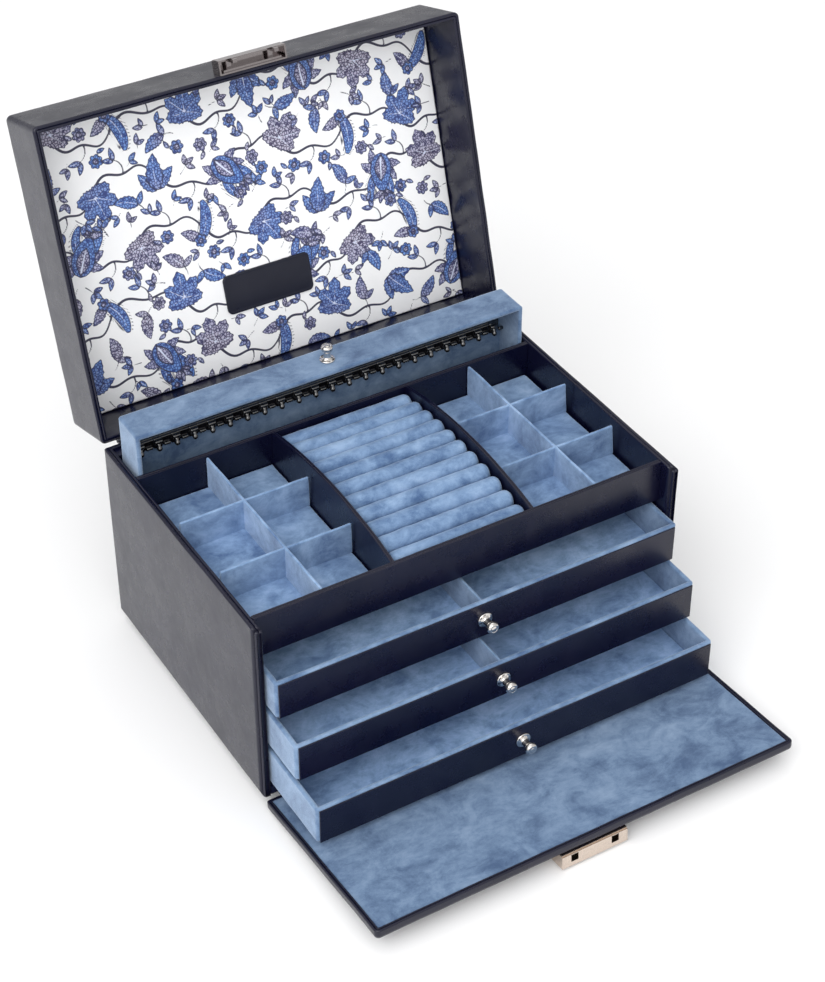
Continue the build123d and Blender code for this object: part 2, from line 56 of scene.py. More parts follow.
JOINTS = {joint["name"]: joint for joint in frame["joints"]}
FLAP_RISE = 4.91  # slope of the lowered flap, in degrees
LID_OPEN = JOINTS["lid_hinge"]["range_deg"][1]
HINGE_CLEARANCE = 2.0  # leather stays this far from a hinge's axis
LEATHER_FOLD = 0.6  # depth of the groove between the two folds of leather on a rim
LIP_CROWN = 0.8  # height of a velour lip's round, as a share of a half circle's
PARTITION = 2.6  # thickness of the arched partitions by the ring rolls
DIVIDER = 1.8  # thickness of the tray's velour dividers
RING_RISE = 8.0  # how far the ring cushion's arch rises in its middle
RING_ROLLS = 11
UNDER_GAP = 0.5  # a drawer's velour and leather above the underside of its boards
HOOKS, HOOK_PITCH = 22, 11.75
PRINT_CELL = 0.76  # grid that the print is worked out on
PRINT_ROWS, PRINT_PITCH = 5, 41.0  # rows of winding stems, and the large motifs along each
UNDRAWN = 9.0  # distance where nothing is drawn


# ---- places ---------------------------------------------------------------------------------------
def turn_x(points, degrees, pivot):
    """Points turned about an axis along X through pivot."""
    c, s = math.cos(math.radians(degrees)), math.sin(math.radians(degrees))
    matrix = np.array([[1, 0, 0], [0, c, -s], [0, s, c]])
    return (points - pivot) @ matrix.T + pivot


def hinge_point(joint):
    """A place on a joint's axis, in millimetres."""
    return np.array(JOINTS[joint]["pos_m"]) / TO_METRES


LID_HINGE, FLAP_HINGE = hinge_point("lid_hinge"), hinge_point("flap_hinge")
LID_PLACE = (-LID_OPEN, LID_HINGE)
FLAP_PLACE = (-FLAP_RISE, FLAP_HINGE)


def extent(*nodes, place=None):
    """Lowest and highest corner of CAD nodes, in millimetres, turned back to their shaped place."""
    points = np.concatenate([
        np.array([v.co for v in frame["nodes"][node].data.vertices]) for node in nodes
    ]) / TO_METRES
    if place:
        points = turn_x(points, -place[0], place[1])
    return points.min(0), points.max(0)


def waves(points, size, seed, layers=7):
    """Smooth irregular waves over space, from about -1 to 1, with humps about half of size across."""
    rng = np.random.default_rng(seed)
    ways = rng.normal(size=(layers, 3))
    ways *= (rng.uniform(0.6, 1.7, layers) / np.linalg.norm(ways, axis=1))[:, None]
    phases = points @ ways.T * (2 * math.pi / size) + rng.uniform(0, 2 * math.pi, layers)
    return np.sin(phases).sum(1) / math.sqrt(layers)


# ---- mesh shapes, each a pair of points and faces -------------------------------------------------
def cuts(low, high, r_low, r_high, cell):
    """Grid lines along one side: closer over the rounded edges, then about one cell apart."""
    bend = np.tan(np.linspace(0, math.pi / 4, 5))
    count = max(1, round((high - low - r_low - r_high) / cell))
    inner = np.linspace(low + r_low, high - r_high, count + 1)
    return np.unique(np.round(np.concatenate(
        [low + r_low - r_low * bend, inner, high - r_high + r_high * bend]), 6))


def board(low, high, radius=1.0, cell=6.0, sides=None, fine=None):
    """A box with rounded edges. sides gives other radii by side, such as {"x-": 2}; an edge takes the
    smaller of its two sides'. fine gives another cell size for an axis."""
    radii = {axis + end: radius for axis in "xyz" for end in "-+"}
    radii.update(sides or {})
    cells = {axis: (fine or {}).get(axis, cell) for axis in "xyz"}
    lines = [
        cuts(low[k], high[k], radii[axis + "-"], radii[axis + "+"], cells[axis])
        for k, axis in enumerate("xyz")
    ]
    count = [len(line) for line in lines]
    index, points, faces = {}, [], []

    def point(place):
        if place not in index:
            index[place] = len(points)
            points.append([lines[k][place[k]] for k in range(3)])
        return index[place]

    for k in range(3):
        a, b = (k + 1) % 3, (k + 2) % 3
        for end in (0, count[k] - 1):
            for i in range(count[a] - 1):
                for j in range(count[b] - 1):
                    corners = []
                    for di, dj in ((0, 0), (1, 0), (1, 1), (0, 1)):
                        place = [0, 0, 0]
                        place[k], place[a], place[b] = end, i + di, j + dj
                        corners.append(point(tuple(place)))
                    faces.append(corners if end else corners[::-1])
    points = np.array(points)
    for a, b in ((0, 1), (1, 2), (0, 2)):
        for end_a, sign_a in (("-", -1), ("+", 1)):
            for end_b, sign_b in (("-", -1), ("+", 1)):
                r = min(radii["xyz"[a] + end_a], radii["xyz"[b] + end_b])
                centre_a = (low if sign_a < 0 else high)[a] - sign_a * r
                centre_b = (low if sign_b < 0 else high)[b] - sign_b * r
                da, db = (points[:, a] - centre_a) * sign_a, (points[:, b] - centre_b) * sign_b
                near = (da > 1e-9) & (db > 1e-9)
                scale = np.maximum(da, db)[near] / np.hypot(da, db)[near]
                points[near, a] = centre_a + sign_a * da[near] * scale
                points[near, b] = centre_b + sign_b * db[near] * scale
    return points, faces


def joined(*shapes):
    """Several shapes as one."""
    points, faces, start = [], [], 0
    for shape_points, shape_faces in shapes:
        points.append(shape_points)
        faces += [[start + i for i in face] for face in shape_faces]
        start += len(shape_points)
    return np.concatenate(points), faces


def skin(rings, closed=True, caps=(True, True)):
    """Faces between rings that have the same number of points, and over the first and last of them."""
    count = len(rings[0])
    faces = []
    for k in range(len(rings) - 1):
        for i in range(count if closed else count - 1):
            j = (i + 1) % count
            faces.append([k * count + i, k * count + j, (k + 1) * count + j, (k + 1) * count + i])
    if caps[0]:
        faces.append(list(range(count))[::-1])
    if caps[1]:
        faces.append([(len(rings) - 1) * count + i for i in range(count)])
    return np.concatenate(rings), faces


def outline(x, y, radius, cell=5.0, steps=6):
    """Points of a rounded rectangle, in two dimensions, evenly cut along its sides."""
    found = []
    corners = [(x[1], y[0], -90), (x[1], y[1], 0), (x[0], y[1], 90), (x[0], y[0], 180)]
    for k, (cx, cy, start) in enumerate(corners):
        inner_x = cx - radius if cx == x[1] else cx + radius
        inner_y = cy - radius if cy == y[1] else cy + radius
        for step in range(steps + 1):
            angle = math.radians(start + 90 * step / steps)
            found.append((inner_x + radius * math.cos(angle), inner_y + radius * math.sin(angle)))
        side = (y[1] - y[0]) if k % 2 == 0 else (x[1] - x[0])
        count = max(2, round(side / cell))
        last = found[-1]
        goal_x, goal_y = [
            (x[1], y[1] - radius), (x[0] + radius, y[1]), (x[0], y[0] + radius), (x[1] - radius, y[0])
        ][k]
        for i in range(1, count):
            t = i / count
            found.append((last[0] + (goal_x - last[0]) * t, last[1] + (goal_y - last[1]) * t))
    return np.array(found)


def loft(x, y, radius, profile, cell=5.0, inner_radius=0.4):
    """Rings round a rounded rectangle. profile lists (inset, height); a sharp inner corner keeps a
    small radius, and every ring is cut as the outermost is."""
    middle = np.array([(x[0] + x[1]) / 2, (y[0] + y[1]) / 2])
    half = np.array([(x[1] - x[0]) / 2, (y[1] - y[0]) / 2])
    rings = []
    for inset, height in profile:
        inset = min(inset, half.min() - inner_radius - 0.05)
        r = max(radius - inset, inner_radius)
        offset, core = outline(x, y, r, cell) - middle, half - r
        reach = np.clip(offset, -core, core)
        ring = middle + reach * ((half - inset - r) / core) + (offset - reach)
        rings.append(np.column_stack([ring, np.full(len(ring), height)]))
    return rings


def bead(width, sag, steps=8):
    """A pillowed fold of leather: (across, height) with height 0 at its top."""
    u = np.sin(np.linspace(-math.pi / 2, math.pi / 2, steps + 1))
    return [((k + 1) * width / 2, -sag * abs(k) ** 3.2) for k in u]


def rim(thickness, top, share=0.58, sag=LEATHER_FOLD):
    """The top of a covered wall, outside first: two folds of leather with a groove between them."""
    outer, inner = thickness * share, thickness * (1 - share)
    first = [(d, top + h) for d, h in bead(outer, sag * 1.5)]
    second = [(outer + d, top + h) for d, h in bead(inner, sag)]
    return first + second[1:]


def rounded(radius, height, angles, way=1.0):
    """(inset, height) pairs round an edge that ends at height. way is -1 where the edge is a top one,
    and nearer 0 for a flatter one."""
    return [(radius * (1 - math.cos(a)), height + way * radius * (1 - math.sin(a))) for a in angles]


def upright(inset, start, end, count):
    """(inset, height) pairs along a straight wall."""
    return [(inset, height) for height in np.linspace(start, end, count)]


def lathe(profile, steps=40):
    """A turned shape about Z from (radius, height) pairs that start and end near the axis."""
    angles = np.linspace(0, 2 * math.pi, steps, endpoint=False)
    rings = [
        np.column_stack([r * np.cos(angles), r * np.sin(angles), np.full(steps, h)]) for r, h in profile
    ]
    return skin(rings)


def tube(path, radii, steps=12):
    """A tube in the YZ plane along path, with a radius at each point."""
    path = np.array(path, float)
    ways = np.gradient(path, axis=0)
    ways /= np.linalg.norm(ways, axis=1)[:, None]
    angles = np.linspace(0, 2 * math.pi, steps, endpoint=False)
    rings = []
    for (y, z), (ty, tz), r in zip(path, ways, radii):
        across, side = r * np.cos(angles), r * np.sin(angles)
        rings.append(np.column_stack([side, y - tz * across, z + ty * across]))
    return skin(rings)


def crowned(shape, axis, side, amount, power=4):
    """Swells one side of a box-like shape outwards, most in its middle."""
    points, faces = shape
    low, high = points.min(0), points.max(0)
    unit = 2 * (points - low) / (high - low) - 1
    a, b = [k for k in range(3) if k != axis]
    over = np.clip(unit[:, axis] * side, 0, 1) ** 6
    swell = (1 - np.abs(unit[:, a]) ** power) * (1 - np.abs(unit[:, b]) ** power)
    points = points.copy()
    points[:, axis] += side * amount * swell * over
    return points, faces


def uneven(shape, amount, size, seed):
    """Moves every point a little, as in fabric or leather over board."""
    points, faces = shape
    moved = [waves(points, size, seed + k) for k in range(3)]
    return points + amount * np.column_stack(moved), faces


# ---- materials ------------------------------------------------------------------------------------
def material(name, color, roughness, **sockets):
    """A plain material. sockets are the main shader's own, with _ for a space."""
    made = bpy.data.materials.new(name)
    made.use_nodes = True
    shader = made.node_tree.nodes["Principled BSDF"]
    shader.inputs["Base Color"].default_value = (*color, 1)
    shader.inputs["Roughness"].default_value = roughness
    for socket, value in sockets.items():
        shader.inputs[socket.replace("_", " ")].default_value = value
    return made


def node(mat, kind, inputs=None, **settings):
    """Adds a shader node. An input that is a socket is linked, and any other value is set."""
    made = mat.node_tree.nodes.new("ShaderNode" + kind)
    for name, value in settings.items():
        setattr(made, name, value)
    for name, value in (inputs or {}).items():
        if isinstance(value, bpy.types.NodeSocket):
            mat.node_tree.links.new(value, made.inputs[name])
        else:
            made.inputs[name].default_value = value
    return made


def drive(mat, socket, value):
    """Links a value to one of the main shader's sockets."""
    mat.node_tree.links.new(value, mat.node_tree.nodes["Principled BSDF"].inputs[socket])


def place_of(mat, stretch=(1, 1, 1)):
    """Coordinates in the frame's metres, stretched."""
    where = node(mat, "TexCoord").outputs["Object"]
    return node(mat, "Mapping", {"Vector": where, "Scale": stretch}).outputs["Vector"]


def noise(mat, where, scale, detail=4.0, roughness=0.55, distortion=0.0):
    """Noise, from 0 to 1."""
    return node(mat, "TexNoise", {
        "Vector": where, "Scale": scale, "Detail": detail, "Roughness": roughness,
        "Distortion": distortion}).outputs["Fac"]


def ramp(mat, value, stops):
    """A colour ramp from (position, colour) stops."""
    made = node(mat, "ValToRGB", {"Fac": value})
    elements = made.color_ramp.elements
    while len(elements) < len(stops):
        elements.new(0.5)
    for element, (position, color) in zip(elements, stops):
        element.position = position
        element.color = (*color, 1)
    return made.outputs["Color"]


def math_node(mat, operation, a, b=0.5):
    """The result of a Math node."""
    return node(mat, "Math", {0: a, 1: b}, operation=operation).outputs[0]


def span(mat, value, low, high, to_low=0.0, to_high=1.0):
    """Value mapped from one range to another and clamped."""
    return node(mat, "MapRange", {
        "Value": value, "From Min": low, "From Max": high, "To Min": to_low, "To Max": to_high,
    }).outputs["Result"]


def mixed(mat, factor, a, b):
    """A colour between a and b. Each of the three may be a socket or a value."""
    made = node(mat, "Mix", data_type="RGBA", blend_type="MIX")
    for index, value in ((0, factor), (6, a), (7, b)):
        if isinstance(value, bpy.types.NodeSocket):
            mat.node_tree.links.new(value, made.inputs[index])
        else:
            made.inputs[index].default_value = (*value, 1) if isinstance(value, tuple) else value
    return made.outputs[2]


def bumped(mat, *layers):
    """Stacks bumps of (height, distance in metres, strength) on the main shader."""
    normal = None
    for height, distance, strength in layers:
        inputs = {"Height": height, "Distance": distance, "Strength": strength}
        if normal:
            inputs["Normal"] = normal
        normal = node(mat, "Bump", inputs).outputs["Normal"]
    drive(mat, "Normal", normal)


def leather(name, dark, warm, roughness=0.27, creasing=0.2):
    """Fine-grained leather: two tones, a pebbled grain, pores and soft creases."""
    mat = material(name, dark, roughness, IOR=1.46)
    where = place_of(mat)
    tone = noise(mat, where, 14.0, 5.0, 0.6, 0.8)
    drive(mat, "Base Color", ramp(mat, tone, [(0.35, dark), (0.62, warm)]))
    wear = noise(mat, where, 60.0, 6.0, 0.65)
    drive(mat, "Roughness", span(mat, wear, 0.3, 0.7, roughness - 0.05, roughness + 0.08))
    grain = node(mat, "TexVoronoi", {"Vector": where, "Scale": 1150.0}, feature="SMOOTH_F1")
    pores = noise(mat, where, 2600.0, 2.0)
    creases = noise(mat, place_of(mat, (1, 1, 0.6)), 70.0, 5.0, 0.6, 1.2)
    bumped(
        mat,
        (creases, 0.0006, creasing),
        (grain.outputs["Distance"], 0.0001, 0.28),
        (pores, 0.00004, 0.2),
    )
    return mat


def velour(name, lift=1.0, sheen=0.95):
    """Short-pile velour: brushed patches of lighter and darker pile, and a fine nap. lift scales the
    colour, as painted light above 1 and painted shade below 1, where a place gets less or more light."""
    mat = material(name, (0.16, 0.25, 0.4), 0.9, Sheen_Weight=sheen, Sheen_Roughness=0.45)
    shader = mat.node_tree.nodes["Principled BSDF"]
    shader.inputs["Sheen Tint"].default_value = (0.72, 0.84, 1.0, 1)
    shader.inputs["Specular IOR Level"].default_value = 0.12
    where = place_of(mat)
    patches = noise(mat, where, 38.0, 9.0, 0.68, 0.5)
    strokes = noise(mat, place_of(mat, (1.0, 1.7, 1.4)), 110.0, 6.0, 0.68, 0.5)
    nap = noise(mat, where, 2400.0, 3.0, 0.7)
    both = mixed(mat, 0.3, patches, strokes)
    tone = mixed(mat, 0.10, both, nap)
    stops = [
        (0.38, (0.058, 0.108, 0.22)),
        (0.46, (0.112, 0.184, 0.315)),
        (0.53, (0.165, 0.255, 0.405)),
        (0.62, (0.24, 0.34, 0.5)),
    ]
    # lift scales every colour: painted light where it is above 1, painted shade where it is below 1.
    stops = [(at, tuple(lift * c for c in color)) for at, color in stops]
    drive(mat, "Base Color", ramp(mat, tone, stops))
    bumped(mat, (both, 0.0008, 0.2), (nap, 0.00012, 0.6))
    return mat


def print_cloth(name):
    """White satin printed in blue. The print's outlines come as distances on the mesh's points, in
    millimetres and negative inside; the stipple, tones and weave are patterns."""
    mat = material(name, (0.9, 0.9, 0.92), 0.62, Sheen_Weight=0.1)

    def field(which):
        return node(mat, "Attribute", attribute_name=which).outputs["Fac"]

    where = place_of(mat)
    leaf, vine, vein, tone = field("leaf"), field("vine"), field("vein"), field("tone")
    fade = noise(mat, where, 40.0, 4.0)
    paper = ramp(mat, fade, [(0.3, (0.93, 0.935, 0.95)), (0.7, (0.97, 0.97, 0.975))])
    drift = math_node(mat, "MULTIPLY_ADD", noise(mat, where, 90.0, 4.0), 0.5)
    drift = math_node(mat, "ADD", tone, math_node(mat, "SUBTRACT", drift, 0.75))
    lights = ramp(mat, drift, [
        (0.0, (0.15, 0.31, 0.68)),
        (0.4, (0.19, 0.29, 0.6)),
        (0.7, (0.4, 0.4, 0.58)),
        (1.0, (0.5, 0.48, 0.6)),
    ])
    darks = ramp(mat, drift, [
        (0.0, (0.025, 0.06, 0.26)), (0.5, (0.03, 0.045, 0.17)), (1.0, (0.05, 0.04, 0.1)),
    ])
    dots = node(mat, "TexVoronoi", {"Vector": where, "Scale": 560.0, "Randomness": 0.8},
                feature="DISTANCE_TO_EDGE")
    filled = mixed(mat, span(mat, dots.outputs["Distance"], 0.06, 0.2), darks, lights)
    inside = span(mat, leaf, -0.95, -0.6, 1.0, 0.0)
    ribs = math_node(mat, "MULTIPLY", span(mat, vein, -0.05, 0.2, 1.0, 0.0), inside)
    filled = mixed(mat, ribs, filled, (0.7, 0.75, 0.9))
    edge = span(mat, leaf, -0.55, -0.3, 0.0, 1.0)
    filled = mixed(mat, edge, filled, (0.028, 0.03, 0.075))
    drawn = mixed(mat, span(mat, vine, -0.12, 0.12, 1.0, 0.0), paper, (0.035, 0.035, 0.07))
    drawn = mixed(mat, span(mat, leaf, -0.1, 0.1, 1.0, 0.0), drawn, filled)
    drive(mat, "Base Color", drawn)
    threads = [
        node(mat, "TexWave", {"Vector": where, "Scale": 420.0, "Distortion": 0.6}, bands_direction=axis)
        for axis in "XZ"
    ]
    bumped(mat, *[(thread.outputs["Fac"], 0.00004, 0.3) for thread in threads])
    return mat


def metal(name, color, low, high, scratch=(1, 1, 1)):
    """Metal whose polish varies a little, with fine scratches."""
    mat = material(name, color, low, Metallic=1.0)
    where = place_of(mat)
    smear = noise(mat, where, 130.0, 5.0, 0.6, 0.6)
    drive(mat, "Roughness", span(mat, smear, 0.3, 0.75, low, high))
    fine = noise(mat, place_of(mat, scratch), 900.0, 3.0)
    tint = tuple(0.9 * c for c in color)
    drive(mat, "Base Color", ramp(mat, fine, [(0.35, tint), (0.6, color)]))
    bumped(mat, (fine, 0.00002, 0.25))
    return mat


def plain_solid(name, dark, light, roughness, grain_scale, grain_depth, **sockets):
    """A solid with a mottled tone and a fine grain: lacquer, felt or board."""
    mat = material(name, dark, roughness, **sockets)
    where = place_of(mat)
    tone = noise(mat, where, grain_scale / 6, 5.0)
    drive(mat, "Base Color", ramp(mat, tone, [(0.35, dark), (0.7, light)]))
    bumped(mat, (noise(mat, where, grain_scale, 3.0), grain_depth, 0.5))
    return mat


NAVY = leather("navy_leather", (0.0012, 0.0018, 0.0135), (0.004, 0.0042, 0.019))
SOFT_NAVY = leather("soft_navy_leather", (0.0014, 0.0022, 0.0175), (0.0045, 0.0055, 0.026), 0.3, 0.35)
PLAQUE = leather("plaque_leather", (0.0025, 0.0035, 0.014), (0.005, 0.006, 0.018), 0.32)
VELOUR = velour("blue_velour")
# Copies of the one velour painted lighter or darker by lift, to stand in for light: painted light in
# the tray, on the rolls and on the drawer pads, painted shade on the flap and the holder.
TRAY_VELOUR_PAINTED_LIGHTER = velour("deep_blue_velour", 1.3)
VELOUR_PAINTED_DARKER = velour("flap_blue_velour", 0.86)
DRAWER_PAD_VELOUR_PAINTED_LIGHTER = velour("drawer_blue_velour", 1.7)
ROLL_VELOUR_PAINTED_LIGHTER = velour("roll_blue_velour", 1.15, 0.4)
PRINT = print_cloth("printed_satin")
CHROME = metal("chrome", (0.68, 0.65, 0.62), 0.04, 0.11)
NICKEL = metal("warm_nickel", (0.68, 0.58, 0.5), 0.16, 0.3)
# A darker nickel for the lid's lock cover and catch: a painted reflection, whose low base colour stands
# in for the dark surroundings the metal mirrors.
NICKEL_PAINTED_DARK_REFLECTION = metal("shaded_nickel", (0.3, 0.27, 0.27), 0.05, 0.16)
STEEL = metal("hinge_steel", (0.12, 0.12, 0.14), 0.28, 0.42, (0.05, 1, 1))
LACQUER = plain_solid("black_gloss", (0.003, 0.003, 0.004), (0.008, 0.008, 0.01), 0.08, 420.0, 0.0003,
                      IOR=1.75, Coat_Weight=1.0, Coat_Roughness=0.03)
FELT = plain_solid("dark_felt", (0.012, 0.012, 0.022), (0.03, 0.03, 0.045), 0.95, 1800.0, 0.0002)


# ---- making pieces --------------------------------------------------------------------------------
STUFFED = []  # padded pieces that are simulated: piece, place, and swell's two numbers


def piece(name, shape, mat, body, stands_for=(), place=None, swell=None, fields=None):
    """Turns a shape into a smooth mesh object that rides on a body. swell is how far a padded piece
    puffs out as cloth, in millimetres, and the share of its thickness, from below, that stays."""
    points, faces = shape
    if place:
        points = turn_x(points, *place)
    mesh = bpy.data.meshes.new(name)
    mesh.from_pydata((points * TO_METRES).tolist(), [], [list(face) for face in faces])
    for field, values in (fields or {}).items():
        data = mesh.attributes.new(field, "FLOAT", "POINT").data
        data.foreach_set("value", values.astype(np.float32))
    work = bmesh.new()
    work.from_mesh(mesh)
    bmesh.ops.remove_doubles(work, verts=work.verts, dist=1e-6)
    bmesh.ops.dissolve_degenerate(work, edges=work.edges, dist=1e-7)
    bmesh.ops.recalc_face_normals(work, faces=work.faces)
    for face in work.faces:
        face.smooth = True
    work.to_mesh(mesh)
    work.free()
    made = bpy.data.objects.new(name, mesh)
    bpy.context.scene.collection.objects.link(made)
    mesh.materials.append(mat)
    if swell:
        STUFFED.append((made, place, *swell))
    weighted = made.modifiers.new("normals", "WEIGHTED_NORMAL")
    weighted.keep_sharp = False
    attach(made, body)
    if stands_for:
        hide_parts(*stands_for)
    return made


def settle(pressure=4.0, moments=20):
    """Puffs the padded pieces out as cloth under pressure from inside, and keeps the shapes."""
    started = []
    for made, place, reach, share in STUFFED:
        points = np.array([v.co for v in made.data.vertices]) / TO_METRES
        height = (turn_x(points, -place[0], place[1]) if place else points)[:, 2]
        held = np.nonzero(height < height.min() + share * np.ptp(height))[0]
        group = made.vertex_groups.new(name="held")
        group.add(held.tolist(), 1.0, "REPLACE")
        cloth = made.modifiers.new("cloth", "CLOTH")
        made.modifiers.move(len(made.modifiers) - 1, 0)
        cloth.settings.use_pressure = True
        cloth.settings.uniform_pressure_force = pressure
        cloth.settings.effector_weights.gravity = 0
        cloth.settings.vertex_group_mass = group.name
        cloth.point_cache.frame_end = moments
        started.append((made, cloth, group, points, reach))
    for moment in range(1, moments + 1):
        bpy.context.scene.frame_set(moment)
    graph = bpy.context.evaluated_depsgraph_get()
    for made, cloth, group, points, reach in started:
        puffed = np.array([v.co for v in made.evaluated_get(graph).data.vertices]) / TO_METRES
        moved = puffed - points
        moved *= min(1.0, reach / max(np.linalg.norm(moved, axis=1).max(), reach / 10))
        made.data.vertices.foreach_set("co", ((points + moved) * TO_METRES).ravel())
        made.modifiers.remove(cloth)
        made.vertex_groups.remove(group)
        made.data.update()
    bpy.context.scene.frame_set(1)


def dress(mat, slot, bevel, *names):
    """Gives CAD nodes their material, and softens their edges."""
    for name in names:
        shown = frame["nodes"][name]
        shown.data.materials.clear()
        shown.data.materials.append(mat)
        edge = shown.modifiers.new("edges", "BEVEL")
        edge.width = bevel * TO_METRES
        edge.segments = 3
        edge.limit_method = "ANGLE"
        edge.angle_limit = math.radians(40)
        shown.modifiers.new("normals", "WEIGHTED_NORMAL")


def off_hinge(shape, hinge):
    """Keeps leather clear of a hinge's barrel."""
    points, faces = shape
    away = points[:, 1:] - hinge[1:]
    distance = np.linalg.norm(away, axis=1)
    near = distance < HINGE_CLEARANCE
    points = points.copy()
    scale = HINGE_CLEARANCE / np.maximum(distance[near], 1e-3)
    points[near, 1:] = hinge[1:] + away[near] * scale[:, None]
    return points, faces


# ---- case -----------------------------------------------------------------------------------------
def case_shell():
    """Side walls and back in one skin of leather, with rounded corners and folded rims."""
    low, high = extent("case_left_wall", "case_right_wall", "case_back_wall")
    thick = extent("case_left_wall")[1][0] - low[0]
    corner, foot, end = 3.2, 1.6, 1.5  # radii of the back corners, lower edges and front edges
    bend_room = 5.5  # from a back corner to where the wall is cut evenly
    profile = rounded(foot, low[2], np.linspace(math.pi / 2, 0, 6))
    profile += upright(0.0, low[2] + foot + 3, high[2] - 3, 26) + rim(thick, high[2])
    profile += upright(thick, high[2] - 3, low[2] + 2, 26)
    profile = np.array(profile + [(thick, low[2])])
    middle = np.array([thick / 2, (low[2] + high[2]) / 2])
    reach = np.array([thick / 2, (high[2] - low[2]) / 2])
    rings = []

    def ring(station):
        """A ring across the wall. station(inset) is a point in plan."""
        rings.append(np.array([[*station(d), z] for d, z in profile]))

    def corner_ring(side, angle):
        def station(d):
            r = max(corner - d, 0.25)
            x, y = low[0] + d + r - r * math.cos(angle), high[1] - d - r + r * math.sin(angle)
            return (x if side < 0 else -x), y
        ring(station)

    def end_ring(side, angle):
        """A ring of a front edge, smaller as the edge turns."""
        shrink = end * (1 - math.cos(angle))
        shaped = middle + (profile - middle) * (reach - shrink) / reach
        y = low[1] + end * (1 - math.sin(angle))
        x = shaped[:, 0] + low[0]
        rings.append(np.column_stack([x if side < 0 else -x, np.full(len(x), y), shaped[:, 1]]))

    turns, quarter = np.linspace(0, math.pi / 2, 6)[:-1], np.linspace(0, math.pi / 2, 9)
    for angle in turns:
        end_ring(-1, angle)
    for y in np.linspace(low[1] + end, high[1] - bend_room, 36):
        ring(lambda d: (low[0] + d, y))
    for angle in quarter:
        corner_ring(-1, angle)
    for x in np.linspace(low[0] + bend_room, high[0] - bend_room, 46):
        ring(lambda d: (x, high[1] - d))
    for angle in quarter[::-1]:
        corner_ring(1, angle)
    for y in np.linspace(high[1] - bend_room, low[1] + end, 36):
        ring(lambda d: (high[0] - d, y))
    for angle in turns[::-1]:
        end_ring(1, angle)
    points, faces = skin(rings)
    outer = np.abs(points[:, 0]) > high[0] - 0.3
    v = 2 * (points[:, 2] - low[2]) / (high[2] - low[2]) - 1
    u = 2 * (points[:, 1] - low[1]) / (high[1] - low[1]) - 1
    swell = 0.7 * (1 - np.abs(v) ** 4) * (1 - np.clip(np.abs(u), 0, 1) ** 4)
    points[outer, 0] += (np.sign(points[:, 0]) * swell)[outer]
    shape = off_hinge(uneven((points, faces), 0.07, 55, 3), LID_HINGE)
    piece("case_shell", shape, NAVY, "case",
          ("case_left_wall", "case_right_wall", "case_back_wall"))


def folded_panel(name, node_name, arch=0.0, halves=(0,)):
    """An upright leather-covered board whose top shows two folds. An arch lifts its middle. halves are
    the sides of a pair, -1 and 1."""
    low, high = extent(node_name)
    shapes = []
    for side in halves:
        a, b = low.copy(), high.copy()
        if side == -1:
            b[0] = low[0] + PARTITION
        elif side:
            a[0] = high[0] - PARTITION
        b[2] -= arch
        across = 0 if side else 1
        points, faces = board(a, b, 0.45, 6.0, {"z+": 0.7}, {"xy"[across]: 0.22})
        s = (points[:, across] - a[across]) / (b[across] - a[across])
        groove = np.exp(-((s - 0.5) / 0.11) ** 2) * np.clip((points[:, 2] - b[2] + 0.8) / 0.8, 0, 1)
        points[:, 2] -= LEATHER_FOLD * groove
        if arch:
            share = 2 * (points[:, 1] - a[1]) / (b[1] - a[1]) - 1
            lift = (points[:, 2] - a[2]) / (b[2] - a[2])
            points[:, 2] += arch * (1 - share ** 2) * lift
        shapes.append(uneven((points, faces), 0.05, 30, 11))
    piece(name, joined(*shapes), NAVY, "case", (node_name,))


def tray():
    """The divided tray: panels, partitions, pads and dividers."""
    folded_panel("tray_front", "tray_front_panel")
    folded_panel("tray_back", "well_front_panel")
    folded_panel("ring_partition_covers", "ring_partitions", RING_RISE, (-1, 1))
    low, high = extent("tray_floor_pads")
    inner = extent("ring_partitions")[1][0] + 0.7
    for name, x in (("tray_pad_left", (-high[0], -inner)), ("tray_pad_right", (inner, high[0]))):
        shape = crowned(board((x[0], *low[1:]), (x[1], *high[1:]), 0.9, 3.0), 2, 1, 0.35)
        piece(name, uneven(shape, 0.08, 22, 5), TRAY_VELOUR_PAINTED_LIGHTER, "case",
              ("tray_floor_pads",), swell=(0.5, 0.4))
    dividers()


def dividers():
    """Thin velour dividers, lapped where they cross. The cross ones lean in at their outer ends."""
    low, high = extent("tray_long_dividers")
    shapes = []
    for side in (-1, 1):
        x = sorted((side * high[0], side * (high[0] - DIVIDER)))
        shape = board((x[0], *low[1:]), (x[1], *high[1:]), 0.75, 4.0)
        shapes.append(uneven(shape, 0.09, 26, 21))
    piece("tray_long_divider_covers", joined(*shapes), TRAY_VELOUR_PAINTED_LIGHTER, "case",
          ("tray_long_dividers",))
    low, high = extent("tray_cross_dividers")
    inner = extent("ring_partitions")[1][0] + 0.6
    shapes = []
    for side in (-1, 1):
        for y in (low[1], high[1] - DIVIDER):
            x, top = sorted((side * inner, side * high[0])), high[2] - 0.25
            points, faces = board((x[0], y, low[2]), (x[1], y + DIVIDER, top), 0.75, 4.0)
            lift = (points[:, 2] - low[2]) / (top - low[2])
            for end, lean in ((high[0], -1.7), (inner, 0.5)):
                near = np.clip(1 - np.abs(np.abs(points[:, 0]) - end) / 6, 0, 1)
                points[:, 0] += side * lean * lift * near
            shapes.append(uneven((points, faces), 0.1, 24, 23))
    piece("tray_cross_divider_covers", joined(*shapes), TRAY_VELOUR_PAINTED_LIGHTER, "case",
          ("tray_cross_dividers",))


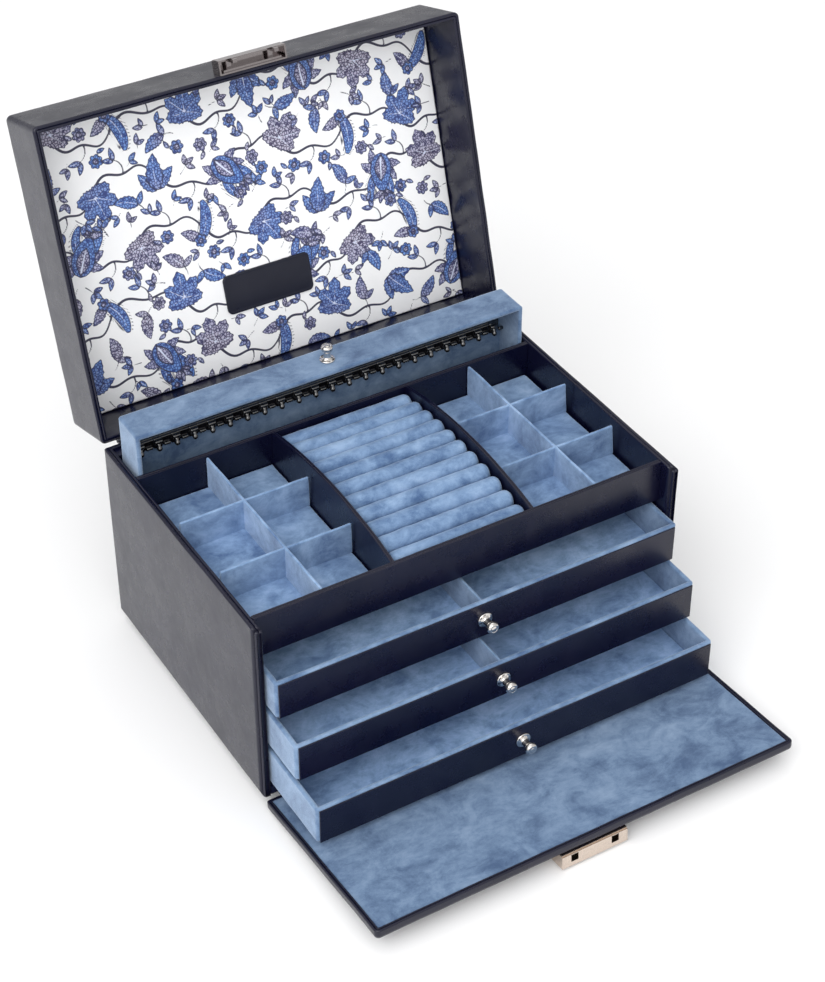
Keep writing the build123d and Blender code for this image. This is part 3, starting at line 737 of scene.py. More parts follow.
def ring_roll(low, high, seed):
    """A padded roll: round on top, flat below, pulled in at its ends."""
    width, middle = (high[1] - low[1]) / 2, (high[1] + low[1]) / 2
    tip = 3.4  # length of each rounded end
    turned = tip * (1 - np.cos(np.linspace(0, math.pi / 2, 8)))
    between = np.linspace(low[0] + tip, high[0] - tip, 30)[1:-1]
    stations = np.concatenate([low[0] + turned, between, high[0] - turned[::-1]])
    rings = []
    for x in stations:
        near = min(x - low[0], high[0] - x, tip) / tip
        pull = math.sqrt(max(0.0, 1 - (1 - near) ** 2))
        w, top = width * (0.55 + 0.45 * pull), high[2] - tip * 0.75 * (1 - pull)
        side = top - width
        ring = [(x, middle + w * math.cos(a), side + width * math.sin(a) ** 0.9)
                for a in np.linspace(0, math.pi, 17)]
        ring += [(x, middle - w, side - share * (side - low[2])) for share in (0.4, 0.8)]
        ring += [(x, middle - w * 0.9, low[2]), (x, middle + w * 0.9, low[2])]
        ring += [(x, middle + w, side - share * (side - low[2])) for share in (0.8, 0.4)]
        rings.append(np.array(ring))
    points, faces = skin(rings)
    return points + 0.1 * waves(points, 17, seed)[:, None] * np.array([0, 0.6, 1.0]), faces


def ring_cushion():
    """The ring rolls, each where its CAD solid stands."""
    low, high = extent("ring_rolls")
    pitch = (high[1] - low[1] + 0.3) / RING_ROLLS
    radius = pitch / 2 - 0.15
    panel_low, panel_high = extent("tray_board")
    middle, half = (low[1] + high[1]) / 2, (panel_high[1] - panel_low[1]) / 2
    rim_height = extent("case_back_wall")[1][2] - 3.0
    for k in range(RING_ROLLS):
        y = low[1] + radius + pitch * k
        crown = rim_height + (RING_RISE - 1.0) * (1 - ((y - middle) / half) ** 2)
        a = np.array([low[0] + 0.15, y - radius + 0.15, crown - 15.0])
        b = np.array([high[0] - 0.15, y + radius - 0.15, crown])
        piece(f"ring_roll_{k + 1:02d}", ring_roll(a, b, 40 + k), ROLL_VELOUR_PAINTED_LIGHTER, "case",
              ("ring_rolls",), swell=(0.4, 0.5))


# ---- drawers --------------------------------------------------------------------------------------
KNOB = [
    (0.02, 0.0), (4.75, 0.0), (4.8, 0.35), (4.7, 0.75), (4.4, 0.95), (3.7, 1.0), (3.4, 1.25),
    (2.9, 1.45), (2.45, 1.8), (2.2, 2.5), (2.1, 4.2), (2.1, 5.4), (2.25, 6.0), (2.8, 6.35),
    (3.35, 6.75), (3.62, 7.3), (3.7, 8.0), (3.62, 8.9), (3.4, 9.5), (3.0, 9.95), (2.55, 10.15),
    (2.2, 10.0), (1.9, 9.95), (1.5, 10.2), (0.9, 10.36), (0.02, 10.4),
]


def knob(name, node_name, body, stands=False):
    """A turned chrome knob on the seat that its CAD node has, facing forwards or standing."""
    low, high = extent(node_name)
    points, faces = lathe(KNOB)
    middle = (low + high) / 2
    if stands:
        points = points + (middle[0], middle[1], high[2] - KNOB[-1][1])
    else:
        points = points[:, [0, 2, 1]] * (1, -1, 1) + (middle[0], low[1] + KNOB[-1][1], middle[2])
    piece(name, (points, faces), CHROME, body, (node_name,))


def drawer(number):
    """One drawer: a velour tub, its leather face, a floor pad, a divider and a knob."""
    body = f"drawer_{number}"
    low, high = extent(body + "_walls")
    low[2] += UNDER_GAP
    front = extent(body + "_front")[0][1]
    wall = extent(body + "_divider" if number < 3 else body + "_base")[0][1] - front
    floor = extent(body + "_base")[1][2]
    lip = wall / 2
    profile = [(30.0, low[2]), (1.0, low[2]), (0.4, low[2] + 0.25), (0.0, low[2] + 1.0)]
    profile += upright(0.0, low[2] + 4, high[2] - lip - 2, 5)
    profile += rounded(lip, high[2], np.linspace(0, math.pi, 13), -LIP_CROWN)
    profile += upright(wall, high[2] - lip - 2, floor + 1, 5)
    profile += [(wall + 0.3, floor - 0.6), (32.0, floor - 0.6)]
    rings = loft((low[0], high[0]), (front, high[1]), 2.2, profile, 6.0)
    shape = uneven(skin(rings), 0.09, 32, 60 + number)
    piece(body + "_tub", shape, VELOUR, body,
          (body + "_walls", body + "_base", body + "_front"))
    gap = wall + 0.3
    pad = board((low[0] + gap, front + gap, floor - 0.5), (high[0] - gap, high[1] - gap, floor + 0.35),
                0.4, 4.0)
    piece(body + "_pad", uneven(crowned(pad, 2, 1, 0.3), 0.1, 26, 70 + number), DRAWER_PAD_VELOUR_PAINTED_LIGHTER, body,
          swell=(0.5, 0.4))
    low_face, high_face = extent(body + "_face")
    low_face[2] += UNDER_GAP
    high_face[2] -= 0.8
    face = board(low_face, high_face, 0.35, 6.0)
    piece(body + "_leather", uneven(face, 0.03, 40, 80 + number), NAVY, body,
          (body + "_face",))
    if number < 3:
        a, b = extent(body + "_divider")
        shape = uneven(board(a, b, 0.75, 4.0), 0.08, 24, 90 + number)
        piece(body + "_divider_cover", shape, VELOUR, body, (body + "_divider",))
    knob(body + "_pull", body + "_knob", body)


# ---- necklace holder ------------------------------------------------------------------------------
def necklace_holder():
    """The velour holder with its hooks and knob."""
    low, high = extent("holder_top", "holder_sides", "holder_back", "holder_bottom")
    wall = high[2] - extent("holder_top")[0][2]
    back = extent("holder_back")[0][1]
    lip = wall / 2
    profile = [(40.0, high[1]), (1.2, high[1]), (0.35, high[1] - 0.35), (0.0, high[1] - 1.2)]
    profile += upright(0.0, high[1] - 3, low[1] + lip + 1, 7)
    profile += rounded(lip, low[1], np.linspace(0, math.pi, 13), LIP_CROWN)
    profile += upright(wall, low[1] + lip + 1, back - 0.6, 7)
    profile += [(wall + 0.5, back), (42.0, back)]
    rings = loft((low[0], high[0]), (low[2] + 0.3, high[2]), 1.9, profile, 6.0)
    rings = [ring[:, [0, 2, 1]] for ring in rings]
    piece("holder_box", uneven(skin(rings), 0.1, 34, 101), VELOUR_PAINTED_DARKER, "holder",
          ("holder_top", "holder_sides", "holder_back", "holder_bottom"))
    hooks()
    knob("holder_pull", "holder_knob", "holder", stands=True)


def hooks():
    """A glossy rail of studs with hooks that end in balls."""
    low, high = extent("hook_rail")
    rail = board(low, high, 0.6, 4.0)
    ball = 1.8
    face, z = low[1], low[2] + 2.6
    path = [(face + 0.4, z + 1.2), (face - 1.4, z + 1.0), (face - 2.6, z + 0.1), (face - 3.2, z - 1.0)]
    radii = [1.7, 1.55, 1.3, 1.15]
    for turned in np.linspace(0.62, math.pi - 0.05, 9):
        path.append((face - 3.4, z - 2.5 + ball * math.cos(turned)))
        radii.append(ball * math.sin(turned))
    one = tube(path, radii)
    stud = board((-2.9, face - 1.9, z - 3.0), (2.9, face + 0.3, high[2] - 0.2), 0.7, 1.2)
    barrel, barrel_faces = lathe([
        (0.02, -2.5), (1.3, -2.5), (1.8, -1.9), (1.45, -0.8), (1.9, 0.0), (1.45, 0.8), (1.8, 1.9),
        (1.3, 2.5), (0.02, 2.5)], 14)
    knuckle = barrel[:, [2, 0, 1]] + (0, face - 2.2, high[2] - 2.6)
    bead_row = barrel[:, [2, 0, 1]] * 0.8 + (HOOK_PITCH / 2, face - 1.7, z - 1.2)
    link = board((2.4, face - 1.5, z - 2.4), (HOOK_PITCH - 2.4, face + 0.3, high[2] - 0.5), 0.7, 1.2)
    shapes = []
    for k in range(HOOKS):
        x = (k - (HOOKS - 1) / 2) * HOOK_PITCH
        parts = [one, stud, (knuckle, barrel_faces), (bead_row, barrel_faces)]
        if k < HOOKS - 1:
            parts.append(link)
        shapes += [(points + (x, 0, 0), faces) for points, faces in parts]
    piece("hook_strip", rail, LACQUER, "holder", ("hook_rail",))
    piece("necklace_hook_set", joined(*shapes), LACQUER, "holder", ("necklace_hooks",))


# ---- lid ------------------------------------------------------------------------------------------
def lid_shell():
    """The lid's five boards in one skin of leather: crowned top, rounded corners, folded rim and
    softly creased walls inside."""
    low, high = extent("lid_top", "lid_left_wall", "lid_front_wall", "lid_back_wall", place=LID_PLACE)
    wall = extent("lid_left_wall", place=LID_PLACE)[1][0] - low[0]
    roof = extent("lid_top", place=LID_PLACE)[0][2]
    corner, edge = 3.4, 2.6  # radii of the upright corners and of the top's edges
    depth = (high[1] - low[1]) / 2
    profile = [(depth, roof - 0.2), (wall + 10, roof - 0.2), (wall + 0.2, roof - 0.2)]
    profile += upright(wall, roof - 1.0, low[2] + 1.2, 16)
    profile += [(d, 2 * low[2] - z) for d, z in rim(wall, low[2], 0.55)][::-1]
    profile += upright(0.0, low[2] + 1.6, high[2] - edge, 14)
    profile += rounded(edge, high[2], np.linspace(0, math.pi / 2, 8), -1.0)[1:]
    profile += [(edge + (depth - edge) * t, high[2]) for t in np.linspace(0.03, 1, 16)]
    points, faces = skin(loft((low[0], high[0]), (low[1], high[1]), corner, profile, 5.0))
    x, y = np.abs(points[:, 0]) / high[0], np.abs(2 * (points[:, 1] - low[1]) / (high[1] - low[1]) - 1)
    top = points[:, 2] > high[2] - 0.01
    points[top, 2] += (0.9 * (1 - x ** 4) * (1 - y ** 4))[top]
    inner = (points[:, 2] < roof - 1.5) & (points[:, 2] > low[2] + 2.0)
    inside = np.maximum(np.abs(points[:, 0]) - (high[0] - wall), 0) < 0.05
    inside &= (points[:, 1] > low[1] + wall - 0.05) & (points[:, 1] < high[1] - wall + 0.05)
    creased = inner & inside
    shift = 0.32 * waves(points * np.array([1, 1, 0.45]), 16, 7)
    side_wall = creased & (np.abs(points[:, 0]) > high[0] - wall - 0.05)
    points[side_wall, 0] += shift[side_wall]
    end_wall = creased & ~side_wall
    points[end_wall, 1] += shift[end_wall]
    shape = off_hinge(uneven((points, faces), 0.08, 48, 9), LID_HINGE)
    piece("lid_shell", shape, NAVY, "lid",
          ("lid_top", "lid_left_wall", "lid_right_wall", "lid_front_wall", "lid_back_wall"), LID_PLACE)


class Print:
    """A floral print drawn as distances from its outlines, in millimetres, at points of a plane."""

    def __init__(self, u, v, seed):
        self.u, self.v = u, v
        self.leaf, self.vine, self.vein = (np.full(u.shape, UNDRAWN) for _ in range(3))
        self.tone = np.zeros(u.shape)
        self.random = random.Random(seed)
        self.taken = []

    def near(self, points, margin=2.5):
        """Which of the plane's points may be changed by a shape."""
        low, high = points.min(0) - margin, points.max(0) + margin
        inside = (self.u > low[0]) & (self.u < high[0]) & (self.v > low[1]) & (self.v < high[1])
        return np.nonzero(inside)[0]

    def distance(self, where, start, end):
        """Distance of points to runs, and how far along each run the nearest place is."""
        p = np.stack([self.u[where], self.v[where]], 1)[:, None]
        way = (end - start)[None]
        share = np.clip(((p - start[None]) * way).sum(2) / np.maximum((way ** 2).sum(2), 1e-9), 0, 1)
        return np.linalg.norm(p - start[None] - share[..., None] * way, axis=2), share

    def fill(self, points, tone=0.2, fade=0.0):
        """A filled shape over what is there. fade darkens it towards its first point."""
        points = np.array(points, float)
        where = self.near(points)
        if not len(where):
            return
        end = np.roll(points, -1, 0)
        distance = self.distance(where, points, end)[0].min(1)
        px, py = self.u[where][:, None], self.v[where][:, None]
        rising = end[:, 1] - points[:, 1]
        rising = np.where(np.abs(rising) < 1e-9, 1e-9, rising)
        crossing = (points[None, :, 1] > py) != (end[None, :, 1] > py)
        at = (end[:, 0] - points[:, 0]) * (py - points[:, 1]) / rising + points[:, 0]
        inside = ((px < at) & crossing).sum(1) % 2 == 1
        distance = np.where(inside, -distance, distance)
        held = self.leaf[where]
        nearest = np.minimum(np.abs(held), distance) * np.where(held < 0, -1, 1)
        self.leaf[where] = np.where(inside, distance, nearest)
        self.vein[where] = np.where(inside, UNDRAWN, self.vein[where])
        size = np.ptp(points, axis=0).max()
        far = np.hypot(self.u[where] - points[0, 0], self.v[where] - points[0, 1]) / size
        self.tone[where] = np.where(inside, tone + fade * (1 - far), self.tone[where])

    def line(self, points, width=0.5, tip=0.3, field="vine"):
        """A line that narrows from width to tip, as a distance less its half width."""
        points = np.array(points, float)
        where = self.near(points)
        if not len(where):
            return
        distance, share = self.distance(where, points[:-1], points[1:])
        along = (np.arange(len(points) - 1)[None] + share) / (len(points) - 1)
        reach = (distance - (width + (tip - width) * along) / 2).min(1)
        held = getattr(self, field)
        held[where] = np.minimum(held[where], reach)

    def take(self, x, y, radius):
        """Whether a round space is free, and then it is taken."""
        free = all(math.hypot(x - a, y - b) >= radius + r for a, b, r in self.taken)
        if free:
            self.taken.append((x, y, radius))
        return free


def towards(x, y, angle, reach):
    """The place at a reach from another, along an angle."""
    return x + reach * math.cos(angle), y + reach * math.sin(angle)


def arm(x, y, angle, length, bend, count=14):
    """Points of a line that leaves a place at an angle and bends by bend in all, in radians."""
    found = [(x, y)]
    for k in range(count):
        found.append(towards(*found[-1], angle + bend * (k + 0.5) / count, length / count))
    return np.array(found)


def along(spine, widths):
    """An outline about a spine, with a half width at each of its points."""
    way = np.gradient(spine, axis=0)
    way /= np.linalg.norm(way, axis=1)[:, None]
    side = np.column_stack([-way[:, 1], way[:, 0]]) * np.array(widths)[:, None]
    return np.concatenate([spine + side, (spine - side)[::-1]])


def draw_leaf(art, x, y, angle, length, width, bend=0.3, tone=0.2, teeth=0):
    """A pointed leaf with a midrib and side ribs, and teeth if asked."""
    spine = arm(x, y, angle, length, bend, 24)
    t = np.linspace(0, 1, 25)
    half = width / 2 * np.sin(math.pi * t ** 0.8) ** 0.85
    if teeth:
        half = half * (1 + 0.25 * (1 - np.abs(np.sin(teeth * math.pi * t))))
    art.fill(along(spine, half + 0.02), tone, 0.3)
    art.line(spine[1:-3], 0.35, 0.2, "vein")
    return spine


def draw_feather(art, x, y, angle, length, width, bend, tone=0.1):
    """A curved plume with a fringe of short strokes."""
    spine = arm(x, y, angle, length, bend, 26)
    t = np.linspace(0, 1, 27)
    half = width / 2 * (np.sin(math.pi * np.clip(t * 0.9 + 0.07, 0, 1)) ** 0.55)
    edge = along(spine, half)
    art.fill(edge, tone, 0.2)
    for k in range(2, len(edge) - 2):
        centre = spine[k] if k < len(spine) else spine[len(edge) - 1 - k]
        way = edge[k] - centre
        reach = np.linalg.norm(way)
        if reach > 0.2:
            art.line([edge[k] + way * 0.1, edge[k] + way / reach * 1.7], 0.4, 0.3)
    art.line(spine[2:-4], 0.45, 0.2, "vein")


def round_shape(x, y, reach, turns):
    """Points about a place, at a reach for each turn."""
    return np.column_stack([x + reach * np.cos(turns), y + reach * np.sin(turns)])


def draw_lobed(art, x, y, angle, radius, tone):
    """A broad leaf with five pointed lobes, toothed edges and a rib to each lobe."""
    lobes = [(0.0, 1.0), (0.86, 0.86), (-0.86, 0.86), (1.78, 0.7), (-1.78, 0.7)]
    turns = np.linspace(-math.pi, math.pi, 120, endpoint=False)
    sinus = 0.5 - 0.16 * np.clip((np.abs(turns) - 2.3) / 0.8, 0, 1)
    reach = sinus.copy()
    for middle, length in lobes:
        share = np.clip(np.abs(turns - middle) / 0.5, 0, 1)
        reach = np.maximum(reach, sinus + (length - sinus) * (1 - share ** 1.7))
    reach += 0.075 * (1 - np.abs(np.sin(11 * turns)))
    art.fill(round_shape(x, y, radius * reach, turns + angle), tone, 0.35)
    for middle, length in lobes:
        art.line(arm(x, y, angle + middle, radius * length * 0.85, 0.1, 5), 0.4, 0.2, "vein")


def draw_rosette(art, x, y, radius, petals, turned, tone):
    """A small flower of round petals about a dark eye."""
    turns = np.linspace(0, 2 * math.pi, 12 * petals, endpoint=False)
    reach = 0.72 + 0.28 * np.abs(np.cos(petals * turns / 2)) ** 0.7
    art.fill(round_shape(x, y, radius * reach, turns + turned), tone)
    art.fill(round_shape(x, y, radius * 0.36, turns[::3]), 0.8)


def draw_sprig(art, x, y, angle, size, count, tone):
    """A short stem with pointed leaves about its tip."""
    stem = arm(x, y, angle, size * 0.8, art.random.uniform(-0.6, 0.6), 8)
    art.line(stem, 0.7, 0.45)
    tip_x, tip_y = stem[-1]
    for k in range(count):
        turned = angle + (k - (count - 1) / 2) * 1.05
        draw_leaf(art, tip_x, tip_y, turned, size * 0.9, size * 0.46, 0.2, tone)


def draw_bloom(art, x, y, angle, size, hand):
    """A large made-up blossom: a seed pod, paired plumes, rolled petals and a crown of small leaves."""
    for turned, length in ((2.2, 0.62), (-2.2, 0.62), (1.45, 0.6), (-1.45, 0.6)):
        draw_leaf(art, x, y, angle + turned, size * length, size * 0.26, -0.8 * hand, 0.65, teeth=5)
    draw_feather(art, x, y, angle + 0.95 * hand, size * 1.05, size * 0.25, -1.3 * hand, 0.05)
    draw_feather(art, x, y, angle - 0.85 * hand, size * 0.9, size * 0.24, 1.3 * hand, 0.15)
    pod = arm(*towards(x, y, angle, -0.42 * size), angle, size * 1.05, 0.25 * hand, 20)
    t = np.linspace(0, 1, 21)
    art.fill(along(pod, size * 0.29 * np.sin(math.pi * t ** 0.75) ** 0.7 + 0.05), 0.1, 0.2)
    art.fill(along(pod[1:15], size * 0.16 * np.sin(math.pi * np.linspace(0, 1, 14)) + 0.05), 0.8)
    art.line(pod[2:14], 1.1, 0.6, "vein")
    tip = pod[-2]
    for turned in (-1.1, -0.4, 0.4, 1.1):
        draw_leaf(art, *tip, angle + turned, size * 0.34, size * 0.16, 0.4 * hand, 0.6)


def draw_head(art, x, y, angle, hand, order):
    """One of the large motifs, about a place."""
    kind = order % 5
    if kind == 0:
        draw_bloom(art, x, y, angle, 25, hand)
    elif kind in (1, 3):
        tone = 0.75 if kind == 1 else 0.15
        draw_lobed(art, *towards(x, y, angle, 3), angle, 16.5, tone)
    elif kind == 2:
        back = arm(x, y, angle + math.pi, 9, 0.2, 4)[-1]
        draw_leaf(art, *back, angle - 0.9 * hand, 15, 6.4, -0.6 * hand, 0.7, teeth=7)
        draw_feather(art, *back, angle + 0.5 * hand, 26, 8, -1.0 * hand, 0.1)
        draw_rosette(art, *back, 4.2, 6, 0.4, 0.3)
    else:
        back = arm(x, y, angle + math.pi, 10, 0.2, 4)[-1]
        for turned, length in ((0.75, 17), (-0.75, 17), (0.0, 23)):
            draw_leaf(art, *back, angle + turned, length, length * 0.42, 0.35 * hand, 0.2, teeth=6)


def lay_print(u, v, width, height):
    """Draws the whole print on a width by height cloth: rows of large motifs along winding stems, then
    smaller ones in the spaces that are left."""
    art = Print(u, v, 4)
    pick = art.random

    def plume(x, y, angle, tone):
        start = arm(x, y, angle + math.pi, 7, 0.3, 4)[-1]
        art.line(arm(*start, angle + math.pi, 6, 0.8), 0.8, 0.5)
        draw_leaf(art, *start, angle, 17, 7.4, pick.choice((-0.7, 0.7)), tone, teeth=7)
        draw_leaf(art, *start, angle + 1.2, 9, 4.2, 0.3, tone)

    def sprig(x, y, angle, tone):
        draw_sprig(art, *towards(x, y, angle, -5), angle, 8.0, 3, tone)

    def flower(x, y, angle, tone):
        art.line(arm(x, y, angle, 8, 0.8), 0.7, 0.45)
        draw_leaf(art, *towards(x, y, angle, 5), angle + 0.9, 6, 3.0, 0.2, tone)
        draw_rosette(art, x, y, 4.6, pick.choice((6, 7)), angle, tone)

    def pair(x, y, angle, tone):
        start = towards(x, y, angle, -3)
        art.line(arm(*start, angle + math.pi, 3.0, 0.4, 4), 0.6, 0.45)
        draw_leaf(art, *start, angle, 7.5, 3.6, 0.4, tone)
        draw_leaf(art, *start, angle + 1.1, 6, 3.0, 0.4, tone)

    heads = []
    t = np.linspace(0, 1, 24)
    wind = 9 * np.sin(math.pi * t) + 3 * np.sin(3 * math.pi * t)
    for row in range(PRINT_ROWS):
        y = height * (row + 0.5) / PRINT_ROWS - height / 2
        start = -width / 2 - PRINT_PITCH * (0.15 if row % 2 else 0.6)
        places = [
            (start + column * PRINT_PITCH + pick.uniform(-4, 4), y + pick.uniform(-6, 6))
            for column in range(int(width / PRINT_PITCH) + 3)
        ]
        for column, (a, b) in enumerate(zip(places[:-1], places[1:])):
            hand = 1 if (column + row) % 2 else -1
            x_run = a[0] + (b[0] - a[0]) * t
            y_run = a[1] + (b[1] - a[1]) * t + hand * wind
            art.line(np.column_stack([x_run, y_run]), 1.7, 1.1)
            art.taken += [(p, q, 1.2) for p, q in zip(x_run[::4], y_run[::4])]
            middle = (x_run[12], y_run[12])
            side = arm(*middle, hand * 1.2, 11, hand * 1.5, 8)
            art.line(side, 1.0, 0.6)
            for turned in (-0.7, 0.5):
                draw_leaf(art, *side[-1], hand * 2.4 + turned, 8.5, 3.8, 0.3, 0.3)
            art.taken.append((*side[-1], 5.0))
            heads.append((a[0], a[1], -hand * pick.uniform(0.9, 1.9), hand, column + 2 * row))
    for x, y, angle, hand, order in heads:
        art.taken.append((x, y, 13.5))
        draw_head(art, x, y, angle, hand, order)
    for tries, radius, draw in (
        (900, 7.6, plume), (1500, 5.6, sprig), (2200, 4.5, flower), (3000, 3.5, pair),
    ):
        for _ in range(tries):
            x, y = pick.uniform(-width / 2, width / 2), pick.uniform(-height / 2, height / 2)
            if art.take(x, y, radius):
                draw(x, y, pick.uniform(0, 2 * math.pi), pick.uniform(0.0, 0.85))
    return {"leaf": art.leaf, "vine": art.vine, "vein": art.vein, "tone": art.tone}


def lid_lining():
    """The padded lining: a closed pad whose seen side carries the print, and the blank plaque."""
    low, high = extent("lid_lining", place=LID_PLACE)
    count = [int((high[k] - low[k]) / PRINT_CELL) for k in (0, 1)]
    lines = [np.linspace(low[k], high[k], count[k] + 1) for k in (0, 1)]
    u, v = [plane.ravel() for plane in np.meshgrid(*lines)]
    across, down = np.abs(u) / high[0], np.abs(2 * (v - low[1]) / (high[1] - low[1]) - 1)
    flat = np.column_stack([u, v, np.zeros(len(u))])
    puff = 0.9 * ((1 - across ** 14) * (1 - down ** 12)) ** 0.6
    held = (1 - across ** 20) * (1 - down ** 20)  # flat where the lining is tucked in
    puff += 0.14 * waves(flat, 46, 31) * (0.35 + across ** 3 + down ** 3) * held
    seen = np.column_stack([u, v, low[2] + 0.6 - puff])
    wide, start = count[0] + 1, len(seen)
    index = np.arange(start).reshape(count[1] + 1, wide)
    corners = index[:-1, :-1], index[:-1, 1:], index[1:, 1:], index[1:, :-1]
    faces = np.stack([corner.ravel() for corner in corners], 1).tolist()
    edge = np.concatenate([index[0], index[1:, -1], index[-1, -2::-1], index[-2:0:-1, 0]]).tolist()
    for k, corner in enumerate(edge):
        after = (k + 1) % len(edge)
        faces.append([corner, edge[after], start + after, start + k])
    faces.append(list(range(start, start + len(edge))))
    back = seen[edge]
    back[:, 2] = high[2]
    points = np.concatenate([seen, back])
    drawn = lay_print(u, v - (low[1] + high[1]) / 2, high[0] - low[0], high[1] - low[1])
    unseen = np.full(len(edge), UNDRAWN)
    fields = {name: np.concatenate([values, unseen]) for name, values in drawn.items()}
    piece("lid_lining_pad", (points, faces), PRINT, "lid", ("lid_lining",), LID_PLACE,
          fields=fields)
    low_plaque, high_plaque = extent("lid_plaque", place=LID_PLACE)
    z0, z1 = low_plaque[2] - 0.6, high_plaque[2] + 0.2
    profile = [(12.0, z1), (0.0, z1), (0.0, z0 + 0.55), (0.12, z0 + 0.25), (0.4, z0 + 0.05), (0.9, z0),
               (1.5, z0), (1.75, z0 + 0.14), (2.0, z0 + 0.02), (12.0, z0)]
    rings = loft((low_plaque[0], high_plaque[0]), (low_plaque[1], high_plaque[1]), 3.5, profile, 3.0)
    piece("lid_plate", skin(rings), PLAQUE, "lid", ("lid_plaque",), LID_PLACE)


# ---- flap -----------------------------------------------------------------------------------------
def flap():
    """The flap: a leather-covered board with a folded border round its velour pad."""
    low, high = extent("flap_board", place=FLAP_PLACE)
    pad_low, pad_high = extent("flap_velour", place=FLAP_PLACE)
    border, edge = pad_low[0] - low[0], 3.2  # edge is the radius of the outer edges
    depth = (high[1] - low[1]) / 2
    profile = [(depth * t, low[2]) for t in np.linspace(1, 0.06, 9)]
    profile += rounded(edge, low[2], np.linspace(math.pi / 2, 0, 7))
    profile += upright(0.0, low[2] + edge + 0.5, high[2] - 1.8, 3)
    profile += [(d, z) for d, z in rim(border - 0.1, high[2] + 0.15, 0.6, 0.5)]
    profile += [(border + 0.1, high[2] - 0.9), (border + 2.0, high[2] - 1.1), (depth, high[2] - 1.1)]
    points, faces = skin(loft((low[0], high[0]), (low[1], high[1]), 3.0, profile, 5.0))
    shape = off_hinge(uneven((points, faces), 0.08, 50, 13), FLAP_HINGE)
    piece("flap_leather", shape, NAVY, "flap", ("flap_board",), FLAP_PLACE)
    pad_low[2] -= 0.05
    pad_high[2] -= 0.45
    pad = crowned(board(pad_low, pad_high, 0.5, 4.0), 2, 1, 0.2, 8)
    piece("flap_pad", uneven(pad, 0.09, 40, 15), VELOUR_PAINTED_DARKER, "flap", ("flap_velour",),
          FLAP_PLACE, swell=(0.3, 0.4))


def lock_spring():
    """The thumb's return spring, a helix that keeps one length as the thumb slides."""
    low, high = extent("lock_spring", place=FLAP_PLACE)
    turns, wire = 8, 0.25  # wire is its radius
    radius = (high[1] - low[1]) / 2 - wire
    length, middle = high[0] - low[0], (low + high) / 2
    along_x = np.array([1.0, 0.0, 0.0])
    across = np.linspace(0, 2 * math.pi, 8, endpoint=False)[:, None]
    rings = []
    for turn in np.linspace(0, turns, 16 * turns + 1):
        out = np.array([0.0, math.cos(2 * math.pi * turn), math.sin(2 * math.pi * turn)])
        x = low[0] + wire + (length - 2 * wire) * turn / turns
        centre = np.array([x, middle[1], middle[2]]) + radius * out
        rings.append(centre + wire * (np.cos(across) * out + np.sin(across) * along_x))
    made = piece("lock_spring_coil", skin(rings), STEEL, "flap", ("lock_spring",), FLAP_PLACE)
    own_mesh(made)


def carried_over():
    """CAD nodes whose shapes are right, with their materials."""
    dress(SOFT_NAVY, "navy_leather", 0.4,
          "case_bottom", "tray_board", "drawer_shelves", "well_back_board", "holder_guides")
    dress(VELOUR, "blue_velour", 0.4, "ring_cushion_base")
    dress(FELT, "dark_felt", 0.8, "case_feet")
    dress(STEEL, "steel", 0.12, "case_hinge_leaves", "lid_hinge_leaf", "flap_hinge_leaf", "hinge_pins")
    dress(NICKEL, "chrome", 0.22, "lock_plate", "lock_case", "lock_thumb")
    # The lid's lock cover and catch take the nickel with a painted dark reflection.
    dress(NICKEL_PAINTED_DARK_REFLECTION, "chrome", 0.22, "lid_lock_cover")
    dress(NICKEL_PAINTED_DARK_REFLECTION, "steel", 0.12, "lid_catch")


# ---- stage ----------------------------------------------------------------------------------------
FLOOR_SIZE, LAMP_SIZE = 60, 2.0  # in metres, as is all of the stage
BRIGHT_SKY = (-0.62, -0.62, 0.48)  # the way to the brightest part of the sky
SKY_STRENGTH = (0.3, 1.12)  # of its darkest and brightest parts
VIEW_FROM = (-0.534446, -0.899588, 0.943207)
VIEW_AZIMUTH, VIEW_ELEVATION, VIEW_ROLL = (math.radians(turned) for turned in (31.062, 38.26, 0.07))
FOCAL_LENGTH = 83.07


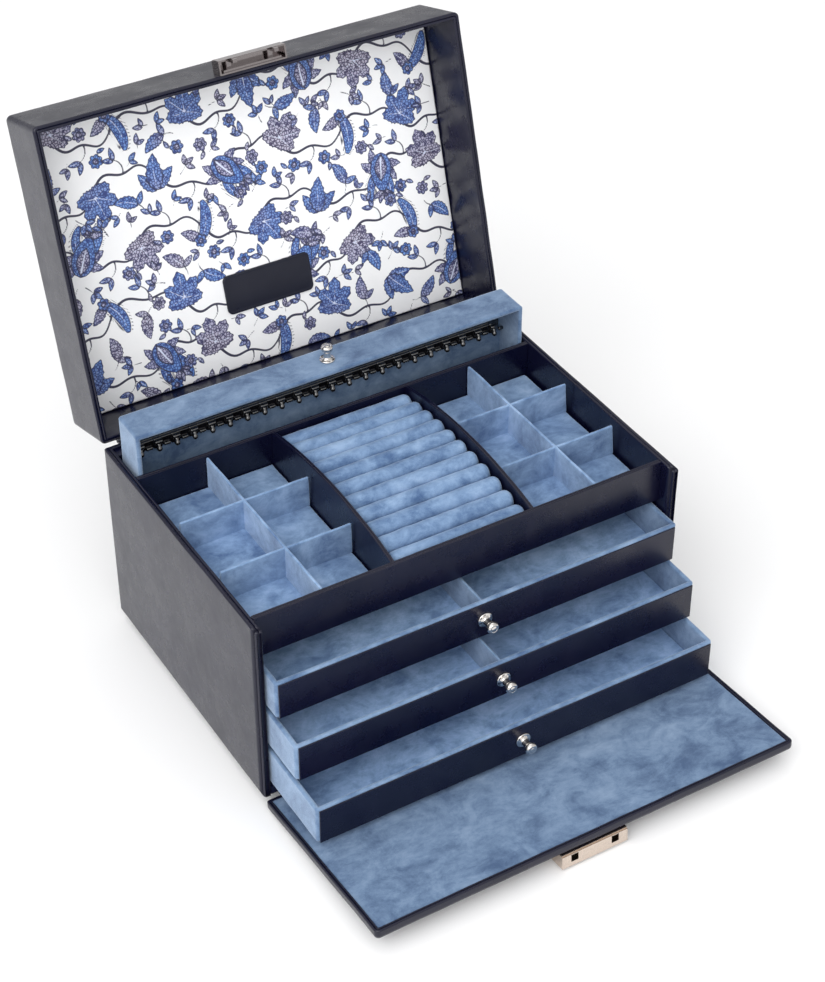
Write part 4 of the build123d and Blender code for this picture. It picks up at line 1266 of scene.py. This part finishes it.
def stage():
    """A plain pale floor, and soft light from the left."""
    bpy.ops.mesh.primitive_plane_add(size=FLOOR_SIZE)
    floor = bpy.context.object
    floor.name = "floor"
    floor.data.materials.append(material("floor_white", (0.93, 0.93, 0.935), 0.9))
    world = bpy.data.worlds.new("studio")
    bpy.context.scene.world = world
    world.use_nodes = True
    background = world.node_tree.nodes["Background"]
    background.inputs["Color"].default_value = (1.0, 1.0, 1.0, 1)
    way = node(world, "TexCoord").outputs["Generated"]
    toward = node(world, "VectorMath", {0: way, 1: BRIGHT_SKY}, operation="DOT_PRODUCT")
    strength = span(world, toward.outputs["Value"], -1, 1, *SKY_STRENGTH)
    world.node_tree.links.new(strength, background.inputs["Strength"])
    lamp("key", (-1.75, -0.9, 1.9), (0, 0, 0.08), 30)
    lamp("top", (0.2, 0.9, 2.3), (0, 0, 0.1), 8)
    lamp("front", (-0.8, -1.9, 1.9), (0, 0, 0.1), 13.5)


def lamp(name, place, target, power):
    """A large soft lamp that faces a target."""
    data = bpy.data.lights.new(name, "AREA")
    data.size, data.energy = LAMP_SIZE, power
    made = bpy.data.objects.new(name, data)
    made.location = place
    made.rotation_euler = (Vector(target) - Vector(place)).to_track_quat("-Z", "Y").to_euler()
    bpy.context.scene.collection.objects.link(made)


def camera():
    """The camera, at the angle of view of a product picture from the left, above the front."""
    level = math.cos(VIEW_ELEVATION)
    forward = Vector((
        math.sin(VIEW_AZIMUTH) * level, math.cos(VIEW_AZIMUTH) * level, -math.sin(VIEW_ELEVATION)))
    right = Vector((math.cos(VIEW_AZIMUTH), -math.sin(VIEW_AZIMUTH), 0))
    up = right.cross(forward)
    c, s = math.cos(VIEW_ROLL), math.sin(VIEW_ROLL)
    right, up = right * c + up * s, up * c - right * s
    data = bpy.data.cameras.new("camera")
    data.lens = FOCAL_LENGTH
    made = bpy.data.objects.new("camera", data)
    matrix = Matrix((right, up, -forward)).transposed().to_4x4()
    matrix.translation = VIEW_FROM
    made.matrix_world = matrix
    bpy.context.scene.collection.objects.link(made)
    bpy.context.scene.camera = made


camera()
bpy.context.scene.view_settings.view_transform = "Standard"
case_shell()
tray()
ring_cushion()
for number in (1, 2, 3):
    drawer(number)
necklace_holder()
lid_shell()
lid_lining()
flap()
lock_spring()
settle()
carried_over()
stage()
